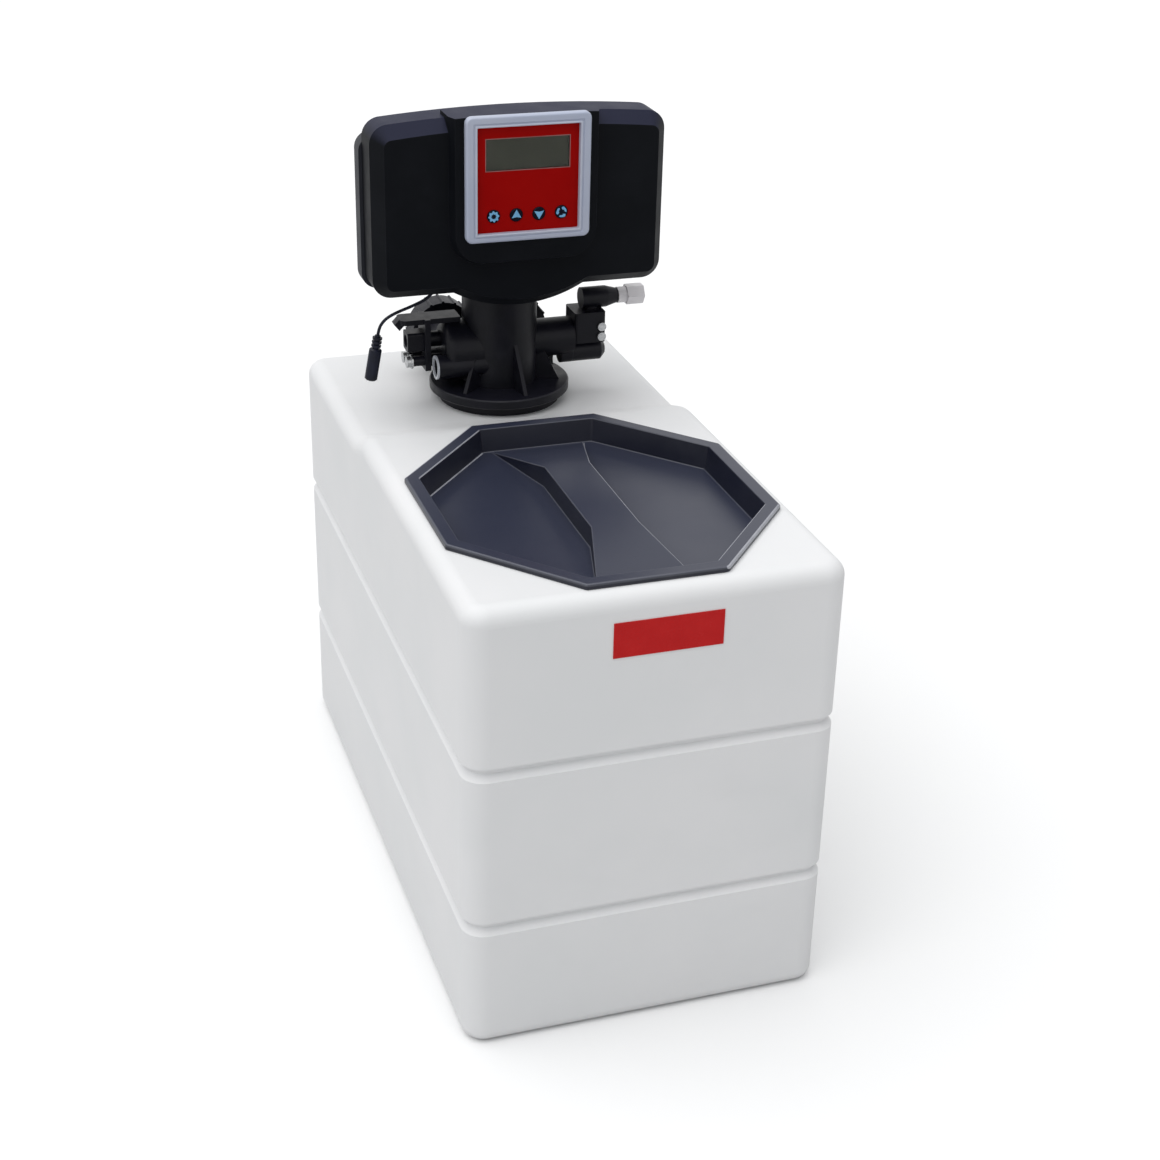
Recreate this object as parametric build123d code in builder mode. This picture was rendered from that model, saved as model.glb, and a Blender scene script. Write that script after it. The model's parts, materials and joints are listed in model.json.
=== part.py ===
"""Cabinet water softener: salt cabinet, resin vessel and electronic control valve.

Millimetres. The origin is the middle of the cabinet's base, +Z is up and the
front, with the display, faces -Y.
"""

from build123d import *
import math
import os

os.makedirs("parts", exist_ok=True)

# Cabinet moulding
cabinet_width = 260.0
cabinet_depth = 500.0
cabinet_height = 333.0
deck_drop = 10.0                # the valve deck lies this far under the cabinet's top
deck_reach = 55.0               # where the level deck starts, before the valve's axis
slope_run = 30.0                # length of the slope down to the deck
slope_radius = 40.0
cabinet_wall = 4.0
cabinet_corner_radius = 16.0
cabinet_top_radius = 12.0
cabinet_base_radius = 9.0
lower_groove_level = 95.0
upper_groove_drop = 118.0       # under the cabinet's top
groove_height = 10.0
groove_depth = 4.5
groove_lip = 5.5                # height of the sloping lower lip
overrun = 2.0                   # how far a cut runs past what it cuts
seat_gap = 0.3                  # running room round a piece that lifts or turns
fit_gap = 0.2                   # room round a fixed piece in its seat

# Salt lid, an eight-sided drop-in tray
lid_front_margin = 11.5         # from the cabinet's front to the rim
lid_back_margin = 5.5           # from the rim to the slope
lid_side_margin = 12.0
lid_front_half = 48.0           # half of the short edges at front and back
lid_side_half = 56.0            # half of the edges along the sides
lid_corner_radius = 3.0
lid_rim_width = 10.0
lid_rim_thickness = 4.0
lid_dish_depth = 17.5
lid_draft = 3.0
lid_wall = 2.5
mouth_gap = 1.0
grip_waist = 17.0               # half the width of the hand grip at its waist
grip_flare = 36.0               # and at its two ends
grip_waist_half = 52.0          # half the length of the waist
grip_drop = 2.0                 # the grip's top lies this far under the rim's top
name_plate_width = 75.0
name_plate_height = 25.0
name_plate_thickness = 0.6
name_plate_x = 4.0
name_plate_drop = 32.0          # under the cabinet's top

# Resin vessel, riser and baskets
valve_setback = 125.0           # from the axis of vessel, riser and valve to the back
vessel_radius = 89.0
vessel_wall = 3.0
vessel_foot = 8.0
vessel_dome = 46.0
dome_steps = 5
vessel_neck_radius = 36.5
vessel_neck_height = 22.0
boot_radius = 93.0
boot_height = 46.0
boot_floor = 4.0
riser_radius = 13.35
riser_wall = 1.9
riser_foot = 28.0
basket_radius = 21.0
basket_height = 42.0
basket_slot = 2.4
basket_slot_count = 10
o_ring_section = 2.6

# Valve body
flange_radius = 54.5
flange_thickness = 7.5
collar_radius = 47.0
collar_height = 7.5
neck_radius = 29.0
head_lap = 3.0                  # the head's underside lies this far under the stem plug
gusset_height = 35.0
gusset_thickness = 3.0
gusset_count = 6
gusset_start = -80.0
stack_radius = 20.0
piston_radius = 13.95
piston_gap = 0.05
riser_socket_depth = 18.0
port_rise = 41.0                # height of the horizontal ports above the deck
drain_boss_radius = 23.0
drain_boss_reach = 47.0
drain_boss_dome = 7.0
drain_port_radius = 9.2
drain_port_reach = 54.0
drain_port_rise = 33.0
drain_port_lead = 15.5          # before the valve's axis
drain_ring_radius = 7.2
drain_ring = 1.4
drain_bore_radius = 6.0
drain_bore_depth = 16.0
line_port_spacing = 60.0        # inlet to outlet, centre to centre
line_port_rise = 34.0
line_port_radius = 16.5
line_bore_radius = 11.0
line_block_start = 12.0          # the block starts this far behind the axis
line_block_end = 40.0
line_port_reach = 62.0          # how far the two ports reach behind the axis
body_roof = 3.0                 # above the vessel's neck
injector_boss_radius = 15.0
injector_boss_reach = 58.0
injector_rise = 44.0

# Pieces on the left of the valve body
yoke_setback = 5.0              # the yoke's middle lies this far behind the valve's axis
yoke_plate_thickness = 4.5
yoke_plate_half_width = 11.0
yoke_plate_rise = 27.0
yoke_arm_start = -32.0
yoke_arm_end = -79.0
yoke_arm_hook = 5.0
yoke_arm_thickness = 4.0
yoke_arm_half_width = 9.0
yoke_bolt_spread = 6.0          # each bolt lies this far before or behind the yoke's middle
yoke_bolt_rise = 34.0
yoke_bolt_radius = 2.0
yoke_bolt_head_radius = 4.4
yoke_bolt_head = 3.4
yoke_bolt_grip = 12.0
yoke_sleeve_radius = 3.9
yoke_sleeve_end = -70.0
yoke_boss_radius = 4.8
yoke_boss_reach = 56.0
washer_thickness = 1.2
washer_radius = 5.6
drain_connector_size = 15.0
drain_connector_length = 13.0
drain_connector_rise = 49.0
drain_connector_bore = 4.85
drain_connector_bore_depth = 10.0
drain_spigot_radius = 6.0
drain_spigot_end = -42.0

# Pieces on the right of the valve body
injector_width = 25.0
injector_depth = 26.0
injector_foot_rise = 40.5
injector_height = 24.5
injector_cap_radius = 8.8
injector_cap_rise = 31.0
injector_cap_start = 58.0
injector_cap_end = 86.0
injector_cap_sides = 12
injector_cap_chamfer = 4.0
injector_collar_start = 49.0
injector_spigot_radius = 6.0
injector_spigot_length = 6.0
injector_spigot_rise = 50.0
injector_screw_drop = 11.5      # the upper screw, under the housing's top
injector_screw_pitch = 8.0
injector_screw_inset = 3.5
lug_x = 39.0
lug_rise = 22.0
lug_size = 8.0
brine_elbow_rise = 73.5
brine_elbow_radius = 8.4
brine_elbow_start = 66.0
brine_elbow_end = 96.0
brine_elbow_nose = 5.6
brine_leg_radius = 6.0
brine_leg_x = 74.0
brine_spigot_radius = 4.0
brine_spigot_length = 8.5
brine_collar_radius = 6.3
brine_collar_length = 7.0
brine_nut_across = 14.4
brine_nut_length = 14.0
brine_bore_radius = 4.85
brine_bore_depth = 12.0

# Line couplings behind the valve
union_nut_radius = 26.5
union_nut_length = 20.0
union_nut_lap = 6.0
union_nut_ribs = 16
union_rib = 1.2
tail_radius = 13.2
tail_neck_radius = 12.6         # inside the nut
tail_neck_lap = 1.0             # the neck shows this far behind the nut
tail_length = 34.0
tail_collar_radius = 15.0
tail_collar_length = 6.0
tail_bore_radius = 9.5
turbine_radius = 10.5
turbine_length = 8.0
turbine_blades = 6
turbine_blade = 1.2
turbine_hub_radius = 3.2
turbine_pin_radius = 1.2
turbine_pin_gap = 0.06
turbine_start = 31.0            # from the valve's axis to the wheel
spider_setback = 5.0            # from the spider to the wheel
spider_thickness = 2.0
spider_arm = 2.4
turbine_clip_radius = 2.6
turbine_clip_thickness = 1.2
turbine_lean = 35.0
tail_bevel = 1.0

# Piston, rod and seal stack
stack_rise = 35.0
stack_height = 64.0
spacer_bore_radius = 15.2
seal_section = 3.0
seal_shares = (0.06, 0.34, 0.62, 0.90)
piston_rise = 39.0
piston_length = 34.0
piston_waist_radius = 9.0
piston_land = 9.0
rod_radius = 4.0
rod_gap = 0.06
plug_height = 8.0
plug_flange = 3.0
plug_flange_radius = 28.0

# Drive train
gear_module = 1.5
main_teeth = 40
rack_pinion_teeth = 16
idler_teeth = 24
small_teeth = 10
addendum_share = 0.85
dedendum_share = 1.1
tooth_share = 0.42              # tooth thickness on the pitch circle, of one pitch
tooth_lean = 20.0
main_gear_rise = 51.0           # above the head's underside
piston_stroke = 24.0
gear_width = 6.0
gear_setback = 5.0              # from the frame's plate to the first wheels
gear_step = 8.0                 # from the first wheels to the second
rack_width = 8.0
rack_spare_count = 3
rack_top_share = 1.5            # tooth spaces above the main gear's axis
pin_length = 31.0
circlip_radius = 4.2
circlip = 1.0
idler_angle = 20.0
motor_angle = 60.0
gear_hub_radius = 4.6
gear_pin_radius = 2.5
gear_pin_gap = 0.06
motor_radius = 16.0
motor_length = 28.0
motor_shaft_radius = 2.0

# Head frame and covers
head_half_width = 110.5
motor_headroom = 9.09           # from the motor to the top of the rear cover
crown_step = 20.0               # from there to the top of the arch
head_shoulder_drop = 5.5        # the arch falls this much to its ends
head_corner_radius = 14.0
bevel_width = 8.0
bevel_depth = 11.0
lobe_half_width = 50.0
lobe_drop = 13.0
cover_wall = 2.6
cover_reach = 63.0              # from the valve's axis to the front face
cover_depth = 36.0
pad_half_width = 56.0
pad_rise = 24.0
pad_proud = 8.0
pad_taper = 3.0
pad_corner_radius = 24.0
pad_crown_rise = 3.0
frame_half_width = 113.0
frame_step = 3.0                # the frame's ears stand above the rear cover
frame_plate = 4.0
frame_depth = 14.0
frame_corner_radius = 12.0
frame_rim = 3.0
saddle_half_width = 36.0
saddle_back = 32.0
saddle_thickness = 4.0
saddle_hole_radius = 8.5
rear_half_width = 97.0
rear_depth = 53.0
rear_rise = 3.0
rear_corner_radius = 14.0
rear_bevel = 9.0
rear_ear_half_width = 108.0
rear_ear = 3.0
rear_vent_count = 6
rear_vent_width = 3.0
rear_vent_length = 34.0
rear_vent_pitch = 9.0
screw_radius = 1.8
screw_head_radius = 3.4
screw_head = 2.2
screw_length = 14.0
boss_radius = 4.2
ear_screw_x = 102.5
ear_screw_inset = 12.0
cover_screw_x = 88.0
cover_screw_rise = 19.0
cover_screw_drop = 38.0
saddle_screw_spread = 24.0

# Display
bezel_half_width = 46.5
bezel_rise = 43.0
bezel_step = 3.0                # the bezel's top stands above the arch
bezel_proud = 5.0
bezel_corner_radius = 5.0
bezel_edge = 1.6
overlay_half_width = 38.0
overlay_foot_margin = 6.5
overlay_top_margin = 8.0
overlay_thickness = 1.5
window_half_width = 31.0
window_top_margin = 9.0
window_height = 22.5
window_thickness = 1.2
key_pitch = 17.0
key_row_shares = (-1.5, -0.5, 0.5, 1.5)
key_row = 12.0                  # keys above the overlay's lower edge
key_radius = 4.7
key_proud = 0.8
key_flange_radius = 5.7
key_flange = 1.0
key_stem_radius = 1.6
key_travel = 0.6
board_half_width = 42.0
board_foot_margin = 3.0
board_thickness = 1.6
board_setback = 6.0             # board behind the pad's front face
board_post_radius = 2.6
module_half_width = 33.0
module_height = 30.0
switch_radius = 3.0
switch_height = 2.2
key_gap = 0.05

# Power lead
lead_setback = 9.0              # behind the front cover
lead_x = -54.0
lead_radius = 1.2
grommet_radius = 3.0
grommet_lip_radius = 4.6
grommet_lip = 0.8
grommet_nozzle_radius = 1.8
grommet_nozzle = 1.5
socket_radius = 4.8
socket_length = 25.0
socket_bore_radius = 2.75
socket_bore_depth = 9.0
socket_relief_radius = 3.0
socket_relief_length = 10.5
socket_bevel = 1.0
bend_share = 0.45
lead_route = (
    (-54.0, 107.0, 425.5),
    (-56.3, 107.0, 417.8),
    (-62.2, 107.3, 412.0),
    (-73.0, 107.0, 407.6),
    (-85.0, 107.3, 403.6),
    (-92.5, 107.0, 400.2),
    (-96.6, 107.2, 396.3),
    (-99.2, 107.0, 391.9),
    (-100.1, 107.0, 387.0),
)

# Brine well, float and overflow
well_gap = 15.0                 # from the cabinet's side wall
well_reach = 139.0              # before the valve's axis
well_radius = 27.0
well_wall = 2.0
well_headroom = 37.0            # from the well's top to the cabinet's
well_slot = 3.0
well_slot_height = 30.0
well_cap_height = 10.0
well_cap_top = 2.5
float_rod_radius = 2.5
float_radius = 14.0
float_height = 34.0
float_rest = 46.0
float_headroom = 32.0           # from the risen float to the rod's top
air_check_radius = 9.0
air_check_height = 26.0
float_stop = 3.0
rod_drop = 34.0                 # the rod's top lies this far under the well's
overflow_sink = 51.0            # under the deck
overflow_x = -70.0
overflow_radius = 9.0
overflow_spigot_radius = 8.0
overflow_spigot = 12.0
overflow_bore = 5.5
overflow_ball = 0.5             # the elbow's ball is this much wider than its pipes
overflow_flange_radius = 14.0
overflow_flange = 3.0
overflow_reach = 14.0
overflow_drop = 22.0
overflow_nut_radius = 13.0
overflow_nut_height = 6.0
overflow_inside = 14.0          # how far the elbow's thread stands inside

# Levels and places worked out from the sizes above
half_width = cabinet_width / 2
half_depth = cabinet_depth / 2
deck_z = cabinet_height - deck_drop
valve_y = half_depth - valve_setback
deck_front = valve_y - deck_reach
groove_levels = (lower_groove_level, cabinet_height - upper_groove_drop)
lid_half_width = half_width - lid_side_margin
lid_half_length = (half_depth + deck_front - slope_run - lid_front_margin - lid_back_margin) / 2
lid_centre_y = lid_half_length + lid_front_margin - half_depth
name_plate_z = cabinet_height - name_plate_drop
port_z = deck_z + port_rise
drain_port_z = deck_z + drain_port_rise
drain_port_y = valve_y - drain_port_lead
line_port_z = deck_z + line_port_rise
injector_z = deck_z + injector_rise
yoke_y = valve_y + yoke_setback
yoke_plate_foot = deck_z + yoke_plate_rise
yoke_bolt_z = deck_z + yoke_bolt_rise
drain_connector_z = deck_z + drain_connector_rise
injector_front = valve_y - injector_depth / 2
injector_foot = deck_z + injector_foot_rise
injector_top = injector_foot + injector_height
injector_cap_z = deck_z + injector_cap_rise
injector_spigot_z = deck_z + injector_spigot_rise
upper_injector_screw = injector_top - injector_screw_drop
injector_screw_levels = (upper_injector_screw, upper_injector_screw - injector_screw_pitch)
lug_foot = deck_z + lug_rise
brine_elbow_z = deck_z + brine_elbow_rise
stack_foot = deck_z + stack_rise
piston_foot = deck_z + piston_rise
flange_z = deck_z + collar_height
neck_foot = flange_z + flange_thickness
recess_top = neck_foot - body_roof
vessel_top = recess_top - o_ring_section
riser_top = recess_top + riser_socket_depth - fit_gap
stack_top = stack_foot + stack_height
stem_top = stack_top + plug_height
saddle_z = stem_top + plug_flange
head_base = stem_top - head_lap
main_gear_z = head_base + main_gear_rise
idler_reach = gear_module * (main_teeth + small_teeth) / 2
motor_reach = gear_module * (idler_teeth + small_teeth) / 2
idler_z = main_gear_z + idler_reach * math.sin(math.radians(idler_angle))
motor_z = idler_z + motor_reach * math.sin(math.radians(motor_angle))
rear_foot = head_base + rear_rise
rear_top = motor_z + motor_radius + motor_headroom
frame_top = rear_top + frame_step
head_crown = rear_top + crown_step
cover_front = valve_y - cover_reach
cover_back = cover_front + cover_depth
pad_foot = head_base + pad_rise
ear_screw_levels = (rear_foot + ear_screw_inset, rear_top - ear_screw_inset)
cover_screw_levels = (head_base + cover_screw_rise, head_crown - cover_screw_drop)
bezel_foot = head_base + bezel_rise
bezel_top = head_crown + bezel_step
overlay_foot = bezel_foot + overlay_foot_margin
overlay_top = bezel_top - overlay_top_margin
board_foot = bezel_foot + board_foot_margin
board_top = overlay_top
lead_y = cover_back + lead_setback
well_x = half_width - cabinet_wall - well_gap - well_radius
well_y = valve_y - well_reach
well_top = cabinet_height - well_headroom
well_height = well_top - cabinet_wall
rod_top = well_top - rod_drop
float_travel = rod_top - float_rest - float_height - float_headroom
overflow_z = deck_z - overflow_sink
port_front = valve_y + line_port_reach
yoke_top = port_z + drain_boss_radius + yoke_arm_thickness
pad_front = cover_front - pad_proud
overlay_front = pad_front - overlay_thickness
board_y = pad_front + board_setback
frame_back = cover_back + frame_depth
rear_back = frame_back + rear_depth
key_z = overlay_foot + key_row
window_z = overlay_top - window_top_margin - window_height / 2


def moulding(inset):
    """The cabinet's rounded form, drawn in by inset on every side."""
    with BuildPart() as form:
        with BuildSketch(Plane.YZ) as side:
            with BuildLine():
                Polyline(
                    (inset - half_depth, inset),
                    (half_depth - inset, inset),
                    (half_depth - inset, deck_z - inset),
                    (deck_front, deck_z - inset),
                    (deck_front - slope_run, cabinet_height - inset),
                    (inset - half_depth, cabinet_height - inset),
                    close=True,
                )
            make_face()
            bends = side.vertices().sort_by_distance((deck_front - slope_run / 2, cabinet_height))[:2]
            fillet(bends, slope_radius)
        extrude(amount=half_width - inset, both=True)
        fillet(form.edges().filter_by(Axis.Z), cabinet_corner_radius - inset)
        crown = form.edges().filter_by_position(Axis.Z, deck_z - inset, cabinet_height)
        fillet(crown, cabinet_top_radius - inset)
        sole = form.edges().group_by(Axis.Z)[0]
        fillet(sole, cabinet_base_radius - inset)
    return form.part


def groove_ring(outer_inset, inner_inset, height, lip):
    """A ring round the cabinet, centred on Z = 0, that is cut away or left standing."""
    reach = 2 * overrun if outer_inset == 0 else 0
    with BuildPart() as ring:
        with BuildSketch(Plane.XY.offset(-height / 2)):
            RectangleRounded(
                cabinet_width - 2 * outer_inset + reach,
                cabinet_depth - 2 * outer_inset + reach,
                cabinet_corner_radius - outer_inset,
            )
        extrude(amount=height)
        with BuildSketch(Plane.XY.offset(-height / 2)):
            RectangleRounded(
                cabinet_width - 2 * outer_inset,
                cabinet_depth - 2 * outer_inset,
                cabinet_corner_radius - outer_inset,
            )
        with BuildSketch(Plane.XY.offset(lip - height / 2)):
            RectangleRounded(
                cabinet_width - 2 * inner_inset,
                cabinet_depth - 2 * inner_inset,
                cabinet_corner_radius - inner_inset,
            )
        loft(ruled=True, mode=Mode.SUBTRACT)
        with BuildSketch(Plane.XY.offset(lip - height / 2)):
            RectangleRounded(
                cabinet_width - 2 * inner_inset,
                cabinet_depth - 2 * inner_inset,
                cabinet_corner_radius - inner_inset,
            )
        extrude(amount=height - lip, mode=Mode.SUBTRACT)
    return ring.part


def octagon(inset):
    """The lid's long eight-sided outline, drawn in by inset, round its own centre."""
    corners = [
        (lid_front_half, lid_half_length),
        (lid_half_width, lid_side_half),
        (lid_half_width, -lid_side_half),
        (lid_front_half, -lid_half_length),
    ]
    with BuildSketch() as outline:
        with BuildLine():
            Polyline(*corners, *[(-x, -y) for x, y in corners], close=True)
        make_face()
        if inset > 0:
            offset(amount=-inset, kind=Kind.INTERSECTION, mode=Mode.REPLACE)
        fillet(outline.vertices(), lid_corner_radius)
    return outline.sketch


def grip(inset):
    """The lid's waisted hand grip, sloping down at both ends, drawn in by inset."""
    top = cabinet_height + lid_rim_thickness - grip_drop - inset
    foot = cabinet_height + lid_rim_thickness - lid_dish_depth - lid_wall - inset
    end = lid_half_length - lid_rim_width - lid_draft - inset
    waist = grip_waist - inset
    flare = grip_flare - inset
    with BuildPart() as form:
        with BuildSketch(Plane.XY.offset(foot)):
            with BuildLine():
                Polyline(
                    (flare, end),
                    (waist, grip_waist_half),
                    (waist, -grip_waist_half),
                    (flare, -end),
                    (-flare, -end),
                    (-waist, -grip_waist_half),
                    (-waist, grip_waist_half),
                    (-flare, end),
                    close=True,
                )
            make_face()
        extrude(amount=top - foot)
        with BuildSketch(Plane.YZ):
            with BuildLine():
                Polyline(
                    (-end, foot),
                    (end, foot),
                    (end, foot + lid_wall),
                    (grip_waist_half, top),
                    (-grip_waist_half, top),
                    (-end, foot + lid_wall),
                    close=True,
                )
            make_face()
        extrude(amount=lid_half_width, both=True, mode=Mode.INTERSECT)
    return form.part


# Cabinet: one hollow moulding with two grooves round it
with BuildPart() as cabinet:
    add(moulding(0))
    for level in groove_levels:
        with Locations((0, 0, level)):
            add(groove_ring(0, groove_depth, groove_height, groove_lip), mode=Mode.SUBTRACT)
    add(moulding(cabinet_wall), mode=Mode.SUBTRACT)
    for level in groove_levels:
        with Locations((0, 0, level)):
            add(groove_ring(cabinet_wall, cabinet_wall + groove_depth, groove_height + cabinet_wall, groove_lip))
    mouth_inset = lid_rim_width - lid_wall - mouth_gap
    with BuildSketch(Plane.XY.offset(cabinet_height + overrun)):
        with Locations((0, lid_centre_y)):
            add(octagon(mouth_inset))
    extrude(amount=-(cabinet_wall + 2 * overrun), mode=Mode.SUBTRACT)
    with Locations((0, valve_y, deck_z)):
        Hole(vessel_neck_radius + seat_gap + fit_gap, cabinet_wall + overrun)
    with Locations(Plane((overflow_x, half_depth, overflow_z), z_dir=(0, 1, 0))):
        Hole(overflow_radius + fit_gap, cabinet_wall + overrun)
cabinet.part.label = "cabinet"
export_step(cabinet.part, "parts/cabinet.step")

# Lid: a rim that rests on the cabinet, a dish that drops into its mouth, and the grip
rim_top = cabinet_height + lid_rim_thickness
dish_floor = rim_top - lid_dish_depth
with BuildPart() as lid:
    with BuildSketch(Plane.XY.offset(cabinet_height)):
        add(octagon(0))
    extrude(amount=lid_rim_thickness)
    chamfer(lid.faces().sort_by(Axis.Z)[-1].edges(), lid_rim_thickness / 4)
    with BuildSketch(Plane.XY.offset(cabinet_height)):
        add(octagon(lid_rim_width - lid_wall))
    with BuildSketch(Plane.XY.offset(dish_floor - lid_wall)):
        add(octagon(lid_rim_width - lid_wall + lid_draft))
    loft(ruled=True)
    with BuildSketch(Plane.XY.offset(rim_top)):
        add(octagon(lid_rim_width))
    with BuildSketch(Plane.XY.offset(dish_floor)):
        add(octagon(lid_rim_width + lid_draft))
    loft(ruled=True, mode=Mode.SUBTRACT)
    add(grip(0))
    add(grip(lid_wall), mode=Mode.SUBTRACT)
lid.part = lid.part.moved(Location((0, lid_centre_y, 0)))
lid.part.label = "lid"
export_step(lid.part, "parts/lid.step")

# Bare plate on the front of the cabinet
with BuildPart() as name_plate:
    with BuildSketch(Plane.XZ.offset(half_depth)):
        with Locations((name_plate_x, name_plate_z)):
            Rectangle(name_plate_width, name_plate_height)
    extrude(amount=name_plate_thickness)
name_plate.part.label = "name_plate"
export_step(name_plate.part, "parts/name_plate.step")


def across(y):
    """The upright plane at depth y that faces the front; a positive extrusion comes forward."""
    return Plane.XZ.offset(-y)


def vessel_outline(inset):
    """Half section of the resin vessel in radius and height, drawn in by inset."""
    foot = vessel_foot + inset
    side = vessel_radius - inset
    shoulder = vessel_top - vessel_neck_height - inset
    mouth = vessel_top + (overrun if inset else 0)
    turns = [math.radians(90 * number / dome_steps) for number in range(dome_steps + 1)]
    bend = vessel_dome - inset
    curve = [(side - bend + bend * math.sin(turn), bend - bend * math.cos(turn)) for turn in turns]
    lower = [(radius, foot + rise) for radius, rise in curve]
    upper = [(radius, shoulder - rise) for radius, rise in reversed(curve)]
    neck = vessel_neck_radius - inset
    with BuildSketch() as outline:
        with BuildLine():
            Polyline((0, foot), *lower, *upper, (neck, shoulder), (neck, mouth), (0, mouth), close=True)
        make_face()
    return outline.sketch

valve_axis = Axis((0, valve_y, 0), (0, 0, 1))
valve_section = Plane((0, valve_y, 0), x_dir=(1, 0, 0), z_dir=(0, -1, 0))

# Resin vessel: a bottle with domed ends and a threaded neck
with BuildPart() as resin_vessel:
    with BuildSketch(valve_section):
        add(vessel_outline(0))
        add(vessel_outline(vessel_wall), mode=Mode.SUBTRACT)
    revolve(axis=valve_axis)
resin_vessel.part.label = "resin_vessel"
export_step(resin_vessel.part, "parts/resin_vessel.step")

# Boot: the cup that the vessel stands in
with BuildPart() as vessel_boot:
    with BuildSketch(Plane.XY.offset(boot_floor)):
        with Locations((0, valve_y)):
            Circle(boot_radius)
    extrude(amount=boot_height)
    with BuildSketch(Plane.XY.offset(vessel_foot)):
        with Locations((0, valve_y)):
            Circle(vessel_radius + seat_gap)
    extrude(amount=boot_height, mode=Mode.SUBTRACT)
vessel_boot.part.label = "vessel_boot"
export_step(vessel_boot.part, "parts/vessel_boot.step")

# Riser tube from the lower basket up into the valve body
with BuildPart() as riser_tube:
    with BuildSketch(Plane.XY.offset(riser_foot)):
        with Locations((0, valve_y)):
            Circle(riser_radius)
            Circle(riser_radius - riser_wall, mode=Mode.SUBTRACT)
    extrude(amount=riser_top - riser_foot)
riser_tube.part.label = "riser_tube"
export_step(riser_tube.part, "parts/riser_tube.step")

# Lower basket: a slotted cup on the riser's foot
lower_foot = vessel_foot + vessel_wall
with BuildPart() as lower_basket:
    with BuildSketch(Plane.XY.offset(lower_foot)):
        with Locations((0, valve_y)):
            Circle(basket_radius)
    extrude(amount=basket_height)
    with BuildSketch(Plane.XY.offset(riser_foot)):
        with Locations((0, valve_y)):
            Circle(riser_radius + fit_gap)
    extrude(amount=basket_height, mode=Mode.SUBTRACT)
    with BuildSketch(Plane.XY.offset(lower_foot + riser_wall)):
        with Locations((0, valve_y)):
            Circle(riser_radius - riser_wall)
    extrude(amount=riser_foot - lower_foot, mode=Mode.SUBTRACT)
    with BuildSketch(Plane.XY.offset(lower_foot + riser_wall)):
        with Locations((0, valve_y)):
            with PolarLocations(basket_radius, basket_slot_count):
                Rectangle(2 * (basket_radius - riser_radius + riser_wall + overrun), basket_slot)
    extrude(amount=riser_foot - lower_foot - 2 * riser_wall, mode=Mode.SUBTRACT)
lower_basket.part.label = "lower_basket"
export_step(lower_basket.part, "parts/lower_basket.step")

# Upper basket: hangs round the riser under the valve body
upper_foot = vessel_top - basket_height + vessel_neck_height / 2
with BuildPart() as upper_basket:
    with BuildSketch(Plane.XY.offset(upper_foot)):
        with Locations((0, valve_y)):
            Circle(basket_radius)
    extrude(amount=recess_top - upper_foot)
    with BuildSketch(Plane.XY.offset(recess_top)):
        with Locations((0, valve_y)):
            Circle(vessel_neck_radius - vessel_wall - fit_gap)
    extrude(amount=-o_ring_section)
    with BuildSketch(Plane.XY.offset(upper_foot)):
        with Locations((0, valve_y)):
            Circle(riser_radius + fit_gap)
    extrude(amount=recess_top - upper_foot, mode=Mode.SUBTRACT)
    with BuildSketch(Plane.XY.offset(upper_foot + riser_wall)):
        with Locations((0, valve_y)):
            with PolarLocations(basket_radius, basket_slot_count):
                Rectangle(2 * (basket_radius - riser_radius), basket_slot)
    extrude(amount=basket_height / 2, mode=Mode.SUBTRACT)
upper_basket.part.label = "upper_basket"
export_step(upper_basket.part, "parts/upper_basket.step")

# Seal between the vessel's mouth and the valve body
with BuildPart() as vessel_seal:
    with BuildSketch(Plane.XY.offset(vessel_top)):
        with Locations((0, valve_y)):
            Circle(vessel_neck_radius)
            Circle(vessel_neck_radius - vessel_wall, mode=Mode.SUBTRACT)
    extrude(amount=o_ring_section)
vessel_seal.part.label = "vessel_seal"
export_step(vessel_seal.part, "parts/vessel_seal.step")

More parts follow.
